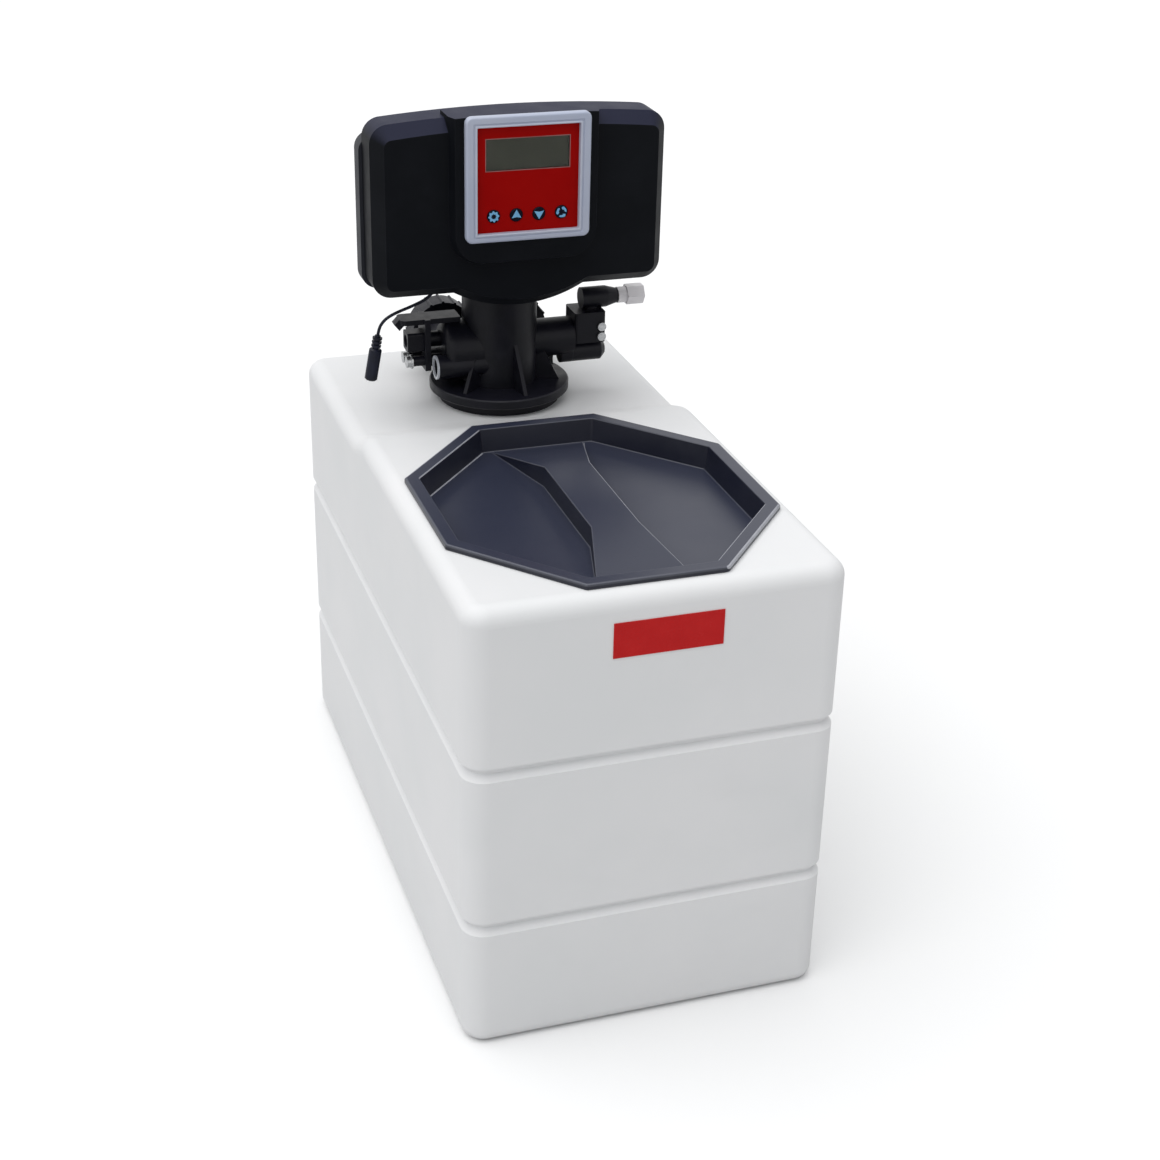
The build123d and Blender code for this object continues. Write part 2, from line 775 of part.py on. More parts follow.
# Valve body: flange, ribbed neck, drain boss, injector boss and the two line ports
line_ports = [(-line_port_spacing / 2, line_port_z), (line_port_spacing / 2, line_port_z)]
yoke_bolts_at = [(yoke_y - yoke_bolt_spread, yoke_bolt_z), (yoke_y + yoke_bolt_spread, yoke_bolt_z)]
with BuildPart() as valve_body:
    with BuildSketch(valve_section):
        with BuildLine():
            Polyline(
                (0, deck_z),
                (collar_radius, deck_z),
                (collar_radius, flange_z),
                (flange_radius, flange_z),
                (flange_radius, neck_foot),
                (neck_radius, neck_foot),
                (neck_radius, stem_top),
                (0, stem_top),
                close=True,
            )
        make_face()
    revolve(axis=valve_axis)
    rims = valve_body.edges().filter_by(GeomType.CIRCLE).sort_by(SortBy.RADIUS)[-2:]
    chamfer(rims, body_roof / 3)
    with BuildSketch(Plane.YZ):
        with Locations((valve_y, port_z)):
            Circle(drain_boss_radius)
    extrude(amount=-drain_boss_reach)
    fillet(valve_body.faces().filter_by(Axis.X).sort_by(Axis.X)[0].edges(), drain_boss_dome)
    for number in range(gusset_count):
        turn = math.radians(gusset_start + 360 * number / gusset_count)
        ray = (math.cos(turn), math.sin(turn), 0)
        flat = (math.sin(turn), -math.cos(turn), 0)
        with BuildSketch(Plane((0, valve_y, 0), x_dir=ray, z_dir=flat)):
            with BuildLine():
                Polyline(
                    (neck_radius - overrun, neck_foot),
                    (collar_radius, neck_foot),
                    (neck_radius, neck_foot + gusset_height),
                    (neck_radius - overrun, neck_foot + gusset_height),
                    close=True,
                )
            make_face()
        extrude(amount=gusset_thickness / 2, both=True)
    with BuildSketch(Plane.YZ):
        with Locations((drain_port_y, drain_port_z)):
            Circle(drain_port_radius)
    extrude(amount=-drain_port_reach)
    with BuildSketch(Plane.YZ.offset(-neck_radius)):
        with Locations(*yoke_bolts_at):
            Circle(yoke_boss_radius)
    extrude(amount=neck_radius - yoke_boss_reach)
    with BuildSketch(Plane.YZ):
        with Locations((valve_y, injector_z)):
            Circle(injector_boss_radius)
    extrude(amount=injector_boss_reach)
    with BuildSketch(Plane.YZ.offset(injector_collar_start)):
        with Locations((valve_y, injector_cap_z)):
            Circle(injector_cap_radius)
    extrude(amount=injector_cap_start - injector_collar_start)
    with Locations((lug_x, valve_y, lug_foot)):
        Box(lug_size, lug_size, lug_size + overrun, align=(Align.CENTER, Align.CENTER, Align.MIN))
    with BuildSketch(across(valve_y + line_block_end)):
        with Locations((0, line_port_z)):
            SlotCenterToCenter(line_port_spacing, 2 * line_port_radius)
    extrude(amount=line_block_end - line_block_start)
    with BuildSketch(across(port_front)):
        with Locations(*line_ports):
            Circle(line_port_radius)
    extrude(amount=line_port_reach - line_block_start)
    with BuildSketch(Plane.XY.offset(deck_z)):
        with Locations((0, valve_y)):
            Circle(vessel_neck_radius + fit_gap)
    extrude(amount=recess_top - deck_z, mode=Mode.SUBTRACT)
    with BuildSketch(Plane.XY.offset(recess_top)):
        with Locations((0, valve_y)):
            Circle(riser_radius + fit_gap)
    extrude(amount=riser_socket_depth, mode=Mode.SUBTRACT)
    with BuildSketch(Plane.XY.offset(recess_top)):
        with Locations((0, valve_y)):
            Circle(riser_radius - riser_wall)
    extrude(amount=stack_foot - recess_top + overrun, mode=Mode.SUBTRACT)
    with BuildSketch(Plane.XY.offset(stack_foot)):
        with Locations((0, valve_y)):
            Circle(stack_radius)
    extrude(amount=stem_top - stack_foot, mode=Mode.SUBTRACT)
    with BuildSketch(across(port_front)):
        with Locations(*line_ports):
            Circle(line_bore_radius)
    extrude(amount=line_port_reach - stack_radius, mode=Mode.SUBTRACT)
    with BuildSketch(Plane.YZ.offset(-drain_port_reach)):
        with Locations((drain_port_y, drain_port_z)):
            Circle(drain_bore_radius)
    extrude(amount=drain_bore_depth, mode=Mode.SUBTRACT)
    with BuildSketch(Plane.YZ.offset(-yoke_boss_reach)):
        with Locations(*yoke_bolts_at):
            Circle(yoke_bolt_radius)
    extrude(amount=yoke_bolt_grip, mode=Mode.SUBTRACT)
    with BuildSketch(Plane.YZ.offset(drain_spigot_end)):
        with Locations((yoke_y, drain_connector_z)):
            Circle(drain_spigot_radius + fit_gap)
    extrude(amount=-drain_boss_reach, mode=Mode.SUBTRACT)
    with BuildSketch(Plane.YZ.offset(injector_cap_start)):
        with Locations((valve_y, injector_cap_z)):
            Circle(injector_spigot_radius + fit_gap)
    extrude(amount=-injector_spigot_length, mode=Mode.SUBTRACT)
    with BuildSketch(Plane.YZ.offset(injector_boss_reach)):
        with Locations((valve_y, injector_spigot_z)):
            Circle(injector_spigot_radius + fit_gap)
    extrude(amount=-injector_spigot_length, mode=Mode.SUBTRACT)
    with BuildSketch(Plane.XY.offset(stem_top)):
        with Locations((0, valve_y)):
            with PolarLocations(saddle_screw_spread, 4, 45):
                Circle(screw_radius)
    extrude(amount=saddle_z + saddle_thickness - screw_length - stem_top, mode=Mode.SUBTRACT)
valve_body.part.label = "valve_body"
export_step(valve_body.part, "parts/valve_body.step")

# Spacer sleeve with the grooves that hold the piston seals
seal_levels = [stack_foot + share * (stack_height - seal_section) for share in seal_shares]
seal_bore = piston_radius + piston_gap
seal_radius = seal_bore + seal_section
with BuildPart() as seal_sleeve:
    with BuildSketch(Plane.XY.offset(stack_foot)):
        with Locations((0, valve_y)):
            Circle(stack_radius)
            Circle(spacer_bore_radius, mode=Mode.SUBTRACT)
    extrude(amount=stack_height)
    for level in seal_levels:
        with BuildSketch(Plane.XY.offset(level)):
            with Locations((0, valve_y)):
                Circle(seal_radius)
        extrude(amount=seal_section, mode=Mode.SUBTRACT)
    for below, above in zip(seal_levels, seal_levels[1:]):
        middle = (below + above + seal_section) / 2
        for turn in range(0, 180, 60):
            ray = (math.cos(math.radians(turn)), math.sin(math.radians(turn)), 0)
            with BuildSketch(Plane((0, valve_y, middle), z_dir=ray)):
                Circle(seal_section)
            extrude(amount=stack_radius + overrun, both=True, mode=Mode.SUBTRACT)
seal_sleeve.part.label = "seal_sleeve"
export_step(seal_sleeve.part, "parts/seal_sleeve.step")

# Piston seals, four alike
with BuildPart() as piston_seals:
    for level in seal_levels:
        with BuildSketch(Plane.XY.offset(level)):
            with Locations((0, valve_y)):
                Circle(seal_radius)
                Circle(seal_bore, mode=Mode.SUBTRACT)
        extrude(amount=seal_section)
piston_seals.part.label = "piston_seals"
export_step(piston_seals.part, "parts/piston_seals.step")

# Plug that closes the top of the valve body round the rod
with BuildPart() as stem_plug:
    with BuildSketch(Plane.XY.offset(stack_top)):
        with Locations((0, valve_y)):
            Circle(stack_radius)
    extrude(amount=plug_height)
    with BuildSketch(Plane.XY.offset(stem_top)):
        with Locations((0, valve_y)):
            Circle(plug_flange_radius)
    extrude(amount=plug_flange)
    with BuildSketch(Plane.XY.offset(saddle_z)):
        with Locations((0, valve_y)):
            Circle(rod_radius + rod_gap)
            with PolarLocations(saddle_screw_spread, 4, 45):
                Circle(screw_radius)
    extrude(amount=-plug_height - plug_flange, mode=Mode.SUBTRACT)
stem_plug.part.label = "stem_plug"
export_step(stem_plug.part, "parts/stem_plug.step")

# Piston: two lands and a waist
piston_top = piston_foot + piston_length
with BuildPart() as piston:
    with BuildSketch(valve_section):
        with BuildLine():
            Polyline(
                (0, piston_foot),
                (piston_radius, piston_foot),
                (piston_radius, piston_foot + piston_land),
                (piston_waist_radius, piston_foot + piston_land),
                (piston_waist_radius, piston_top - piston_land),
                (piston_radius, piston_top - piston_land),
                (piston_radius, piston_top),
                (rod_radius, piston_top),
                (rod_radius, piston_top - piston_land),
                (0, piston_top - piston_land),
                close=True,
            )
        make_face()
    revolve(axis=valve_axis)
piston.part.label = "piston"
export_step(piston.part, "parts/piston.step")

# Rod: round through the plug, then a square bar with rack teeth
tooth_pitch = math.pi * gear_module
addendum = addendum_share * gear_module
dedendum = dedendum_share * gear_module
rack_line = rack_width / 2 + dedendum
rack_pinion_radius = gear_module * rack_pinion_teeth / 2
main_gear_x = rack_line + rack_pinion_radius
rack_gaps = math.ceil(piston_stroke / tooth_pitch) + rack_spare_count
rack_top = main_gear_z + rack_top_share * tooth_pitch
rack_foot = rack_top - rack_gaps * tooth_pitch
half_tooth = tooth_share * tooth_pitch / 2
tip_lean = addendum * math.tan(math.radians(tooth_lean))
root_lean = dedendum * math.tan(math.radians(tooth_lean))
with BuildPart() as piston_rod:
    with BuildSketch(Plane.XY.offset(piston_top - piston_land)):
        with Locations((0, valve_y)):
            Circle(rod_radius)
    extrude(amount=rack_foot - piston_top + piston_land)
    with BuildSketch(Plane.XY.offset(rack_foot)):
        with Locations((0, valve_y)):
            Rectangle(rack_width, rack_width)
    extrude(amount=rack_top - rack_foot)
    with BuildSketch(across(valve_y)):
        for number in range(rack_gaps):
            level = rack_foot + (number + 0.5) * tooth_pitch
            with BuildLine():
                Polyline(
                    (rack_line - dedendum, level - half_tooth - root_lean),
                    (rack_line + addendum, level - half_tooth + tip_lean),
                    (rack_line + addendum, level + half_tooth - tip_lean),
                    (rack_line - dedendum, level + half_tooth + root_lean),
                    close=True,
                )
            make_face()
    extrude(amount=rack_width / 2, both=True)
piston_rod.part.label = "piston_rod"
export_step(piston_rod.part, "parts/piston_rod.step")


def wheel(teeth, phase):
    """Flat outline of a spur gear with straight flanks, turned by a share of one tooth."""
    pitch_radius = gear_module * teeth / 2
    step = 2 * math.pi / teeth
    tooth_half = tooth_share * step / 2
    tip_cut = math.tan(math.radians(tooth_lean)) * addendum / pitch_radius
    root_cut = math.tan(math.radians(tooth_lean)) * dedendum / pitch_radius
    tip = pitch_radius + addendum
    root = pitch_radius - dedendum
    points = []
    for number in range(teeth):
        middle = (number + phase) * step
        spread = [
            (root, -tooth_half - root_cut),
            (tip, tip_cut - tooth_half),
            (tip, tooth_half - tip_cut),
            (root, tooth_half + root_cut),
        ]
        for radius, turn in spread:
            points.append((radius * math.cos(middle + turn), radius * math.sin(middle + turn)))
    with BuildSketch() as outline:
        with BuildLine():
            Polyline(*points, close=True)
        make_face()
    return outline.sketch


def tooth_at(teeth, toward):
    """The share of one tooth that turns a tooth to face the direction toward, in degrees."""
    return (toward * teeth / 360) % 1


def gap_at(teeth, toward):
    """The same for the gap between two teeth."""
    return tooth_at(teeth, toward) + 0.5


# Where the gears sit: the reduction gear beside the main gear, the motor above it
plate_back = cover_back + frame_plate
first_layer = plate_back + gear_setback
second_layer = first_layer + gear_step
pin_end = plate_back + pin_length
idler_x = main_gear_x + idler_reach * math.cos(math.radians(idler_angle))
motor_x = idler_x + motor_reach * math.cos(math.radians(motor_angle))
gear_bore = gear_pin_radius + gear_pin_gap

# Main gear with the rack pinion on the same hub
with BuildPart() as main_gear:
    with BuildSketch(across(first_layer)):
        with Locations((main_gear_x, main_gear_z)):
            add(wheel(main_teeth, gap_at(main_teeth, idler_angle)))
    extrude(amount=-gear_width)
    with BuildSketch(across(first_layer + gear_width)):
        with Locations((main_gear_x, main_gear_z)):
            add(wheel(rack_pinion_teeth, gap_at(rack_pinion_teeth, 180)))
    extrude(amount=first_layer + gear_width - pin_end + 2 * circlip)
    with BuildSketch(across(plate_back + seat_gap)):
        with Locations((main_gear_x, main_gear_z)):
            Circle(gear_hub_radius)
    extrude(amount=seat_gap - gear_setback)
    with BuildSketch(across(plate_back)):
        with Locations((main_gear_x, main_gear_z)):
            Circle(gear_bore)
    extrude(amount=-pin_length, mode=Mode.SUBTRACT)
main_gear.part.label = "main_gear"
export_step(main_gear.part, "parts/main_gear.step")

# Reduction gear: a small pinion on the main gear, a wheel on the motor's pinion
with BuildPart() as reduction_gear:
    with BuildSketch(across(first_layer)):
        with Locations((idler_x, idler_z)):
            add(wheel(small_teeth, tooth_at(small_teeth, idler_angle + 180)))
    extrude(amount=-gear_step)
    with BuildSketch(across(second_layer)):
        with Locations((idler_x, idler_z)):
            add(wheel(idler_teeth, gap_at(idler_teeth, motor_angle)))
    extrude(amount=-gear_width)
    with BuildSketch(across(plate_back + seat_gap)):
        with Locations((idler_x, idler_z)):
            Circle(gear_hub_radius)
    extrude(amount=seat_gap - gear_setback)
    with BuildSketch(across(second_layer + gear_width)):
        with Locations((idler_x, idler_z)):
            Circle(gear_hub_radius)
    extrude(amount=second_layer + gear_width - pin_end + 2 * circlip)
    with BuildSketch(across(plate_back)):
        with Locations((idler_x, idler_z)):
            Circle(gear_bore)
    extrude(amount=-pin_length, mode=Mode.SUBTRACT)
reduction_gear.part.label = "reduction_gear"
export_step(reduction_gear.part, "parts/reduction_gear.step")

# Motor pinion and the shaft it turns on
with BuildPart() as motor_pinion:
    with BuildSketch(across(second_layer)):
        with Locations((motor_x, motor_z)):
            add(wheel(small_teeth, tooth_at(small_teeth, motor_angle + 180)))
    extrude(amount=-gear_width)
    with BuildSketch(across(second_layer)):
        with Locations((motor_x, motor_z)):
            Circle(motor_shaft_radius)
    extrude(amount=second_layer - cover_back + motor_length / 2)
motor_pinion.part.label = "motor_pinion"
export_step(motor_pinion.part, "parts/motor_pinion.step")

# Drive motor in front of the frame's plate
with BuildPart() as drive_motor:
    with BuildSketch(across(cover_back)):
        with Locations((motor_x, motor_z)):
            Circle(motor_radius)
    extrude(amount=motor_length)
    chamfer(drive_motor.edges().filter_by(GeomType.CIRCLE), motor_shaft_radius / 2)
    with BuildSketch(across(cover_back)):
        with Locations((motor_x, motor_z)):
            Circle(motor_shaft_radius + gear_pin_gap)
    extrude(amount=motor_length / 2 + seat_gap, mode=Mode.SUBTRACT)
drive_motor.part.label = "drive_motor"
export_step(drive_motor.part, "parts/drive_motor.step")

# The two gear pins and the clips on their ends
gear_places = [(main_gear_x, main_gear_z), (idler_x, idler_z)]
with BuildPart() as gear_pins:
    with BuildSketch(across(cover_back)):
        with Locations(*gear_places):
            Circle(gear_pin_radius)
    extrude(amount=cover_back - pin_end)
gear_pins.part.label = "gear_pins"
export_step(gear_pins.part, "parts/gear_pins.step")
with BuildPart() as gear_clips:
    with BuildSketch(across(pin_end - 2 * circlip + seat_gap)):
        with Locations(*gear_places):
            Circle(circlip_radius)
            Circle(gear_pin_radius, mode=Mode.SUBTRACT)
    extrude(amount=-circlip)
gear_clips.part.label = "gear_clips"
export_step(gear_clips.part, "parts/gear_clips.step")


def cover_outline(inset):
    """The head's face seen from the front: arched top, rounded corners and a belly below."""
    side = head_half_width - inset
    foot = head_base + inset
    shoulder = head_crown - head_shoulder_drop - inset
    with BuildSketch() as outline:
        with BuildLine():
            Polyline((-lobe_half_width, foot), (-side, foot), (-side, shoulder))
            ThreePointArc((-side, shoulder), (0, head_crown - inset), (side, shoulder))
            Polyline((side, shoulder), (side, foot), (lobe_half_width, foot))
            ThreePointArc((lobe_half_width, foot), (0, foot - lobe_drop), (-lobe_half_width, foot))
        make_face()
        corners = outline.vertices().group_by(Axis.X)
        fillet(corners[0] + corners[-1], head_corner_radius - inset)
    return outline.sketch


def pad_outline(inset, top_inset):
    """The raised U-shaped pad in the middle of the head's face."""
    side = pad_half_width - inset
    top = head_crown + pad_crown_rise - top_inset
    fall = head_shoulder_drop * (pad_half_width / head_half_width) ** 2
    with BuildSketch() as outline:
        with BuildLine():
            Polyline(
                (-side, top - fall),
                (-side, pad_foot + inset),
                (side, pad_foot + inset),
                (side, top - fall),
            )
            ThreePointArc((side, top - fall), (0, top), (-side, top - fall))
        make_face()
        fillet(outline.vertices().group_by(Axis.Y)[0], pad_corner_radius - inset)
    return outline.sketch


def head_form(inset, back):
    """The front cover's body with its bevel and pad, drawn in by inset."""
    with BuildPart() as form:
        with BuildSketch(across(cover_front + inset)):
            add(cover_outline(bevel_width + inset))
        with BuildSketch(across(cover_front + bevel_depth)):
            add(cover_outline(inset))
        loft(ruled=True)
        with BuildSketch(across(cover_front + bevel_depth)):
            add(cover_outline(inset))
        extrude(amount=cover_front + bevel_depth - back)
        with BuildSketch(across(pad_front + inset)):
            add(pad_outline(pad_taper + inset, inset))
        with BuildSketch(across(cover_front + inset)):
            add(pad_outline(inset, inset))
        loft(ruled=True)
        with BuildSketch(across(cover_front + inset)):
            add(pad_outline(inset, inset))
        extrude(amount=inset - 2 * bevel_depth)
    return form.part


# Front cover of the head
opening_half_width = overlay_half_width - overrun
opening_foot = overlay_foot + overrun
opening_top = overlay_top - overrun
key_places = [(share * key_pitch, key_z) for share in key_row_shares]
cover_screws_at = [(side * cover_screw_x, level) for side in (-1, 1) for level in cover_screw_levels]
post_x = board_half_width - board_post_radius
post_levels = (board_foot + board_post_radius, board_top - board_post_radius)
posts_at = [(side * post_x, level) for side in (-1, 1) for level in post_levels]
with BuildPart() as front_cover:
    add(head_form(0, cover_back))
    add(head_form(cover_wall, cover_back + overrun), mode=Mode.SUBTRACT)
    with BuildSketch(across(pad_front)):
        with Locations((0, (opening_foot + opening_top) / 2)):
            Rectangle(2 * opening_half_width, opening_top - opening_foot)
    extrude(amount=-cover_wall - overrun, mode=Mode.SUBTRACT)
    with BuildSketch(across(cover_front + cover_wall / 2)):
        with Locations(*cover_screws_at):
            Circle(boss_radius)
    extrude(amount=cover_front + cover_wall / 2 - cover_back)
    with BuildSketch(across(cover_back)):
        with Locations(*cover_screws_at):
            Circle(screw_radius)
    extrude(amount=screw_length, mode=Mode.SUBTRACT)
    with BuildSketch(across(pad_front + cover_wall / 2)):
        with Locations(*posts_at):
            Circle(board_post_radius)
    extrude(amount=pad_front + cover_wall / 2 - board_y)
    with BuildSketch(Plane.XY.offset(head_base - lobe_drop)):
        with Locations((0, valve_y)):
            Circle(neck_radius + seat_gap)
    extrude(amount=stem_top - head_base + lobe_drop, mode=Mode.SUBTRACT)
front_cover.part.label = "front_cover"
export_step(front_cover.part, "parts/front_cover.step")

# Frame that carries the gears, the motor and both covers
frame_height = frame_top - head_base
frame_middle = (frame_top + head_base) / 2
ear_screws_at = [(side * ear_screw_x, level) for side in (-1, 1) for level in ear_screw_levels]
with BuildPart() as gear_frame:
    with BuildSketch(across(plate_back)):
        with Locations((0, frame_middle)):
            RectangleRounded(2 * frame_half_width, frame_height, frame_corner_radius)
        add(cover_outline(cover_wall + seat_gap))
    extrude(amount=frame_plate)
    with BuildSketch(across(frame_back)):
        with Locations((0, frame_middle)):
            RectangleRounded(2 * frame_half_width, frame_height, frame_corner_radius)
            RectangleRounded(
                2 * (frame_half_width - frame_rim),
                frame_height - 2 * frame_rim,
                frame_corner_radius - frame_rim,
                mode=Mode.SUBTRACT,
            )
    extrude(amount=frame_back - plate_back)
    with BuildSketch(across(frame_back)):
        with Locations(*ear_screws_at):
            Circle(boss_radius + screw_radius)
    extrude(amount=frame_back - plate_back)
    with BuildSketch(Plane.XY.offset(saddle_z)):
        with Locations((0, (plate_back + valve_y + saddle_back) / 2)):
            Rectangle(2 * saddle_half_width, valve_y + saddle_back - plate_back)
    extrude(amount=saddle_thickness)
    with BuildSketch(Plane.XY.offset(head_base - lobe_drop)):
        with Locations((0, valve_y)):
            Circle(neck_radius + seat_gap)
    extrude(amount=saddle_z - head_base + lobe_drop, mode=Mode.SUBTRACT)
    with BuildSketch(Plane.XY.offset(saddle_z)):
        with Locations((0, valve_y)):
            Circle(saddle_hole_radius)
            with PolarLocations(saddle_screw_spread, 4, 45):
                Circle(screw_radius)
    extrude(amount=saddle_thickness, mode=Mode.SUBTRACT)
    with BuildSketch(across(frame_back)):
        with Locations(*ear_screws_at):
            Circle(screw_radius)
    extrude(amount=screw_length - rear_ear, mode=Mode.SUBTRACT)
    with BuildSketch(across(plate_back)):
        with Locations(*gear_places):
            Circle(gear_pin_radius)
        with Locations((motor_x, motor_z)):
            Circle(gear_hub_radius)
        with Locations(*cover_screws_at):
            Circle(screw_radius)
    extrude(amount=frame_plate, mode=Mode.SUBTRACT)
    with BuildSketch(Plane.XY.offset(head_base)):
        with Locations((lead_x, lead_y)):
            Circle(grommet_radius)
    extrude(amount=frame_rim, mode=Mode.SUBTRACT)
gear_frame.part.label = "gear_frame"
export_step(gear_frame.part, "parts/gear_frame.step")

# Rear cover over the gears, with ears for its screws and vents in its back
rear_middle = (rear_top + rear_foot) / 2
rear_height = rear_top - rear_foot
with BuildPart() as rear_cover:
    with BuildSketch(across(frame_back)):
        with Locations((0, rear_middle)):
            RectangleRounded(2 * rear_half_width, rear_height, rear_corner_radius)
    extrude(amount=frame_back - rear_back)
    chamfer(rear_cover.faces().sort_by(Axis.Y)[-1].edges(), rear_bevel)
    with BuildSketch(across(frame_back)):
        with Locations((0, rear_middle)):
            RectangleRounded(2 * rear_ear_half_width, rear_height, rear_corner_radius)
    extrude(amount=-rear_ear)
    with BuildPart(mode=Mode.SUBTRACT) as rear_room:
        with BuildSketch(across(frame_back)):
            with Locations((0, rear_middle)):
                RectangleRounded(
                    2 * (rear_half_width - cover_wall),
                    rear_height - 2 * cover_wall,
                    rear_corner_radius - cover_wall,
                )
        extrude(amount=frame_back - rear_back + cover_wall)
        chamfer(rear_room.faces().sort_by(Axis.Y)[-1].edges(), rear_bevel)
    with BuildSketch(across(rear_back)):
        with Locations((0, rear_middle)):
            with GridLocations(rear_vent_pitch, rear_height, rear_vent_count, 1):
                SlotOverall(rear_vent_length, rear_vent_width, rotation=90)
    extrude(amount=cover_wall + overrun, mode=Mode.SUBTRACT)
    with BuildSketch(Plane.XY.offset(rear_foot)):
        with Locations((0, (frame_back + valve_y + saddle_back + seat_gap) / 2)):
            Rectangle(2 * (saddle_half_width + seat_gap), valve_y + saddle_back + seat_gap - frame_back)
    extrude(amount=saddle_z + saddle_thickness + seat_gap - rear_foot, mode=Mode.SUBTRACT)
    with BuildSketch(across(frame_back)):
        with Locations(*ear_screws_at):
            Circle(screw_radius)
    extrude(amount=-rear_ear, mode=Mode.SUBTRACT)
rear_cover.part.label = "rear_cover"
export_step(rear_cover.part, "parts/rear_cover.step")

# Screws of the case, all alike: covers onto the frame, frame onto the valve body
with BuildPart() as case_screws:
    with BuildSketch(across(frame_back + rear_ear)):
        with Locations(*ear_screws_at):
            Circle(screw_head_radius)
    extrude(amount=-screw_head)
    with BuildSketch(across(frame_back + rear_ear)):
        with Locations(*ear_screws_at):
            Circle(screw_radius)
    extrude(amount=screw_length)
    with BuildSketch(across(plate_back)):
        with Locations(*cover_screws_at):
            Circle(screw_head_radius)
    extrude(amount=-screw_head)
    with BuildSketch(across(plate_back)):
        with Locations(*cover_screws_at):
            Circle(screw_radius)
    extrude(amount=screw_length)
    with BuildSketch(Plane.XY.offset(saddle_z + saddle_thickness)):
        with Locations((0, valve_y)):
            with PolarLocations(saddle_screw_spread, 4, 45):
                Circle(screw_head_radius)
    extrude(amount=screw_head)
    with BuildSketch(Plane.XY.offset(saddle_z + saddle_thickness)):
        with Locations((0, valve_y)):
            with PolarLocations(saddle_screw_spread, 4, 45):
                Circle(screw_radius)
    extrude(amount=-screw_length)
case_screws.part.label = "case_screws"
export_step(case_screws.part, "parts/case_screws.step")

# Silver bezel on the pad
bezel_middle = (bezel_top + bezel_foot) / 2
overlay_middle = (overlay_top + overlay_foot) / 2
with BuildPart() as bezel:
    with BuildSketch(across(pad_front)):
        with Locations((0, bezel_middle)):
            RectangleRounded(2 * bezel_half_width, bezel_top - bezel_foot, bezel_corner_radius)
    extrude(amount=bezel_proud)
    chamfer(bezel.faces().sort_by(Axis.Y)[0].edges(), bezel_edge)
    with BuildSketch(across(pad_front)):
        with Locations((0, overlay_middle)):
            Rectangle(2 * overlay_half_width, overlay_top - overlay_foot)
    extrude(amount=bezel_proud, mode=Mode.SUBTRACT)
bezel.part.label = "bezel"
export_step(bezel.part, "parts/bezel.step")

# Keypad overlay with its four key holes and the display's opening
with BuildPart() as keypad_overlay:
    with BuildSketch(across(pad_front)):
        with Locations((0, overlay_middle)):
            Rectangle(2 * overlay_half_width, overlay_top - overlay_foot)
        with Locations((0, window_z)):
            Rectangle(2 * window_half_width, window_height, mode=Mode.SUBTRACT)
        with Locations(*key_places):
            Circle(key_radius + seat_gap, mode=Mode.SUBTRACT)
    extrude(amount=overlay_thickness)
keypad_overlay.part.label = "keypad_overlay"
export_step(keypad_overlay.part, "parts/keypad_overlay.step")

# Display window, flush in the overlay
with BuildPart() as display_window:
    with BuildSketch(across(overlay_front + window_thickness)):
        with Locations((0, window_z)):
            Rectangle(2 * window_half_width, window_height)
    extrude(amount=window_thickness)
display_window.part.label = "display_window"
export_step(display_window.part, "parts/display_window.step")

# Display module between the window and the board
with BuildPart() as display_module:
    with BuildSketch(across(board_y)):
        with Locations((0, window_z)):
            Rectangle(2 * module_half_width, module_height)
    extrude(amount=board_y - pad_front - fit_gap)
display_module.part.label = "display_module"
export_step(display_module.part, "parts/display_module.step")

# Circuit board on the cover's four posts, with one switch behind each key
switch_front = board_y - switch_height
with BuildPart() as circuit_board:
    with BuildSketch(across(board_y)):
        with Locations((0, (board_top + board_foot) / 2)):
            Rectangle(2 * board_half_width, board_top - board_foot)
    extrude(amount=-board_thickness)
    with BuildSketch(across(board_y)):
        with Locations(*key_places):
            Circle(switch_radius)
    extrude(amount=switch_height)
circuit_board.part.label = "circuit_board"
export_step(circuit_board.part, "parts/circuit_board.step")


def key(place):
    """A round key: cap through the overlay, flange behind it and stem toward the switch."""
    flange_front = pad_front + key_gap
    with BuildPart() as form:
        with BuildSketch(across(flange_front + key_flange)):
            with Locations(place):
                Circle(key_flange_radius)
        extrude(amount=key_flange)
        with BuildSketch(across(flange_front)):
            with Locations(place):
                Circle(key_radius)
        extrude(amount=flange_front - overlay_front + key_proud)
        chamfer(form.faces().sort_by(Axis.Y)[0].edges(), key_proud / 2)
        with BuildSketch(across(switch_front - key_travel - key_gap)):
            with Locations(place):
                Circle(key_stem_radius)
        extrude(amount=switch_front - key_travel - key_gap - flange_front - key_flange)
    return form.part


# The four keys
with BuildPart() as key_menu:
    add(key(key_places[0]))
key_menu.part.label = "key_menu"
export_step(key_menu.part, "parts/key_menu.step")

with BuildPart() as key_up:
    add(key(key_places[1]))
key_up.part.label = "key_up"
export_step(key_up.part, "parts/key_up.step")

with BuildPart() as key_down:
    add(key(key_places[2]))
key_down.part.label = "key_down"
export_step(key_down.part, "parts/key_down.step")

with BuildPart() as key_regenerate:
    add(key(key_places[3]))
key_regenerate.part.label = "key_regenerate"
export_step(key_regenerate.part, "parts/key_regenerate.step")

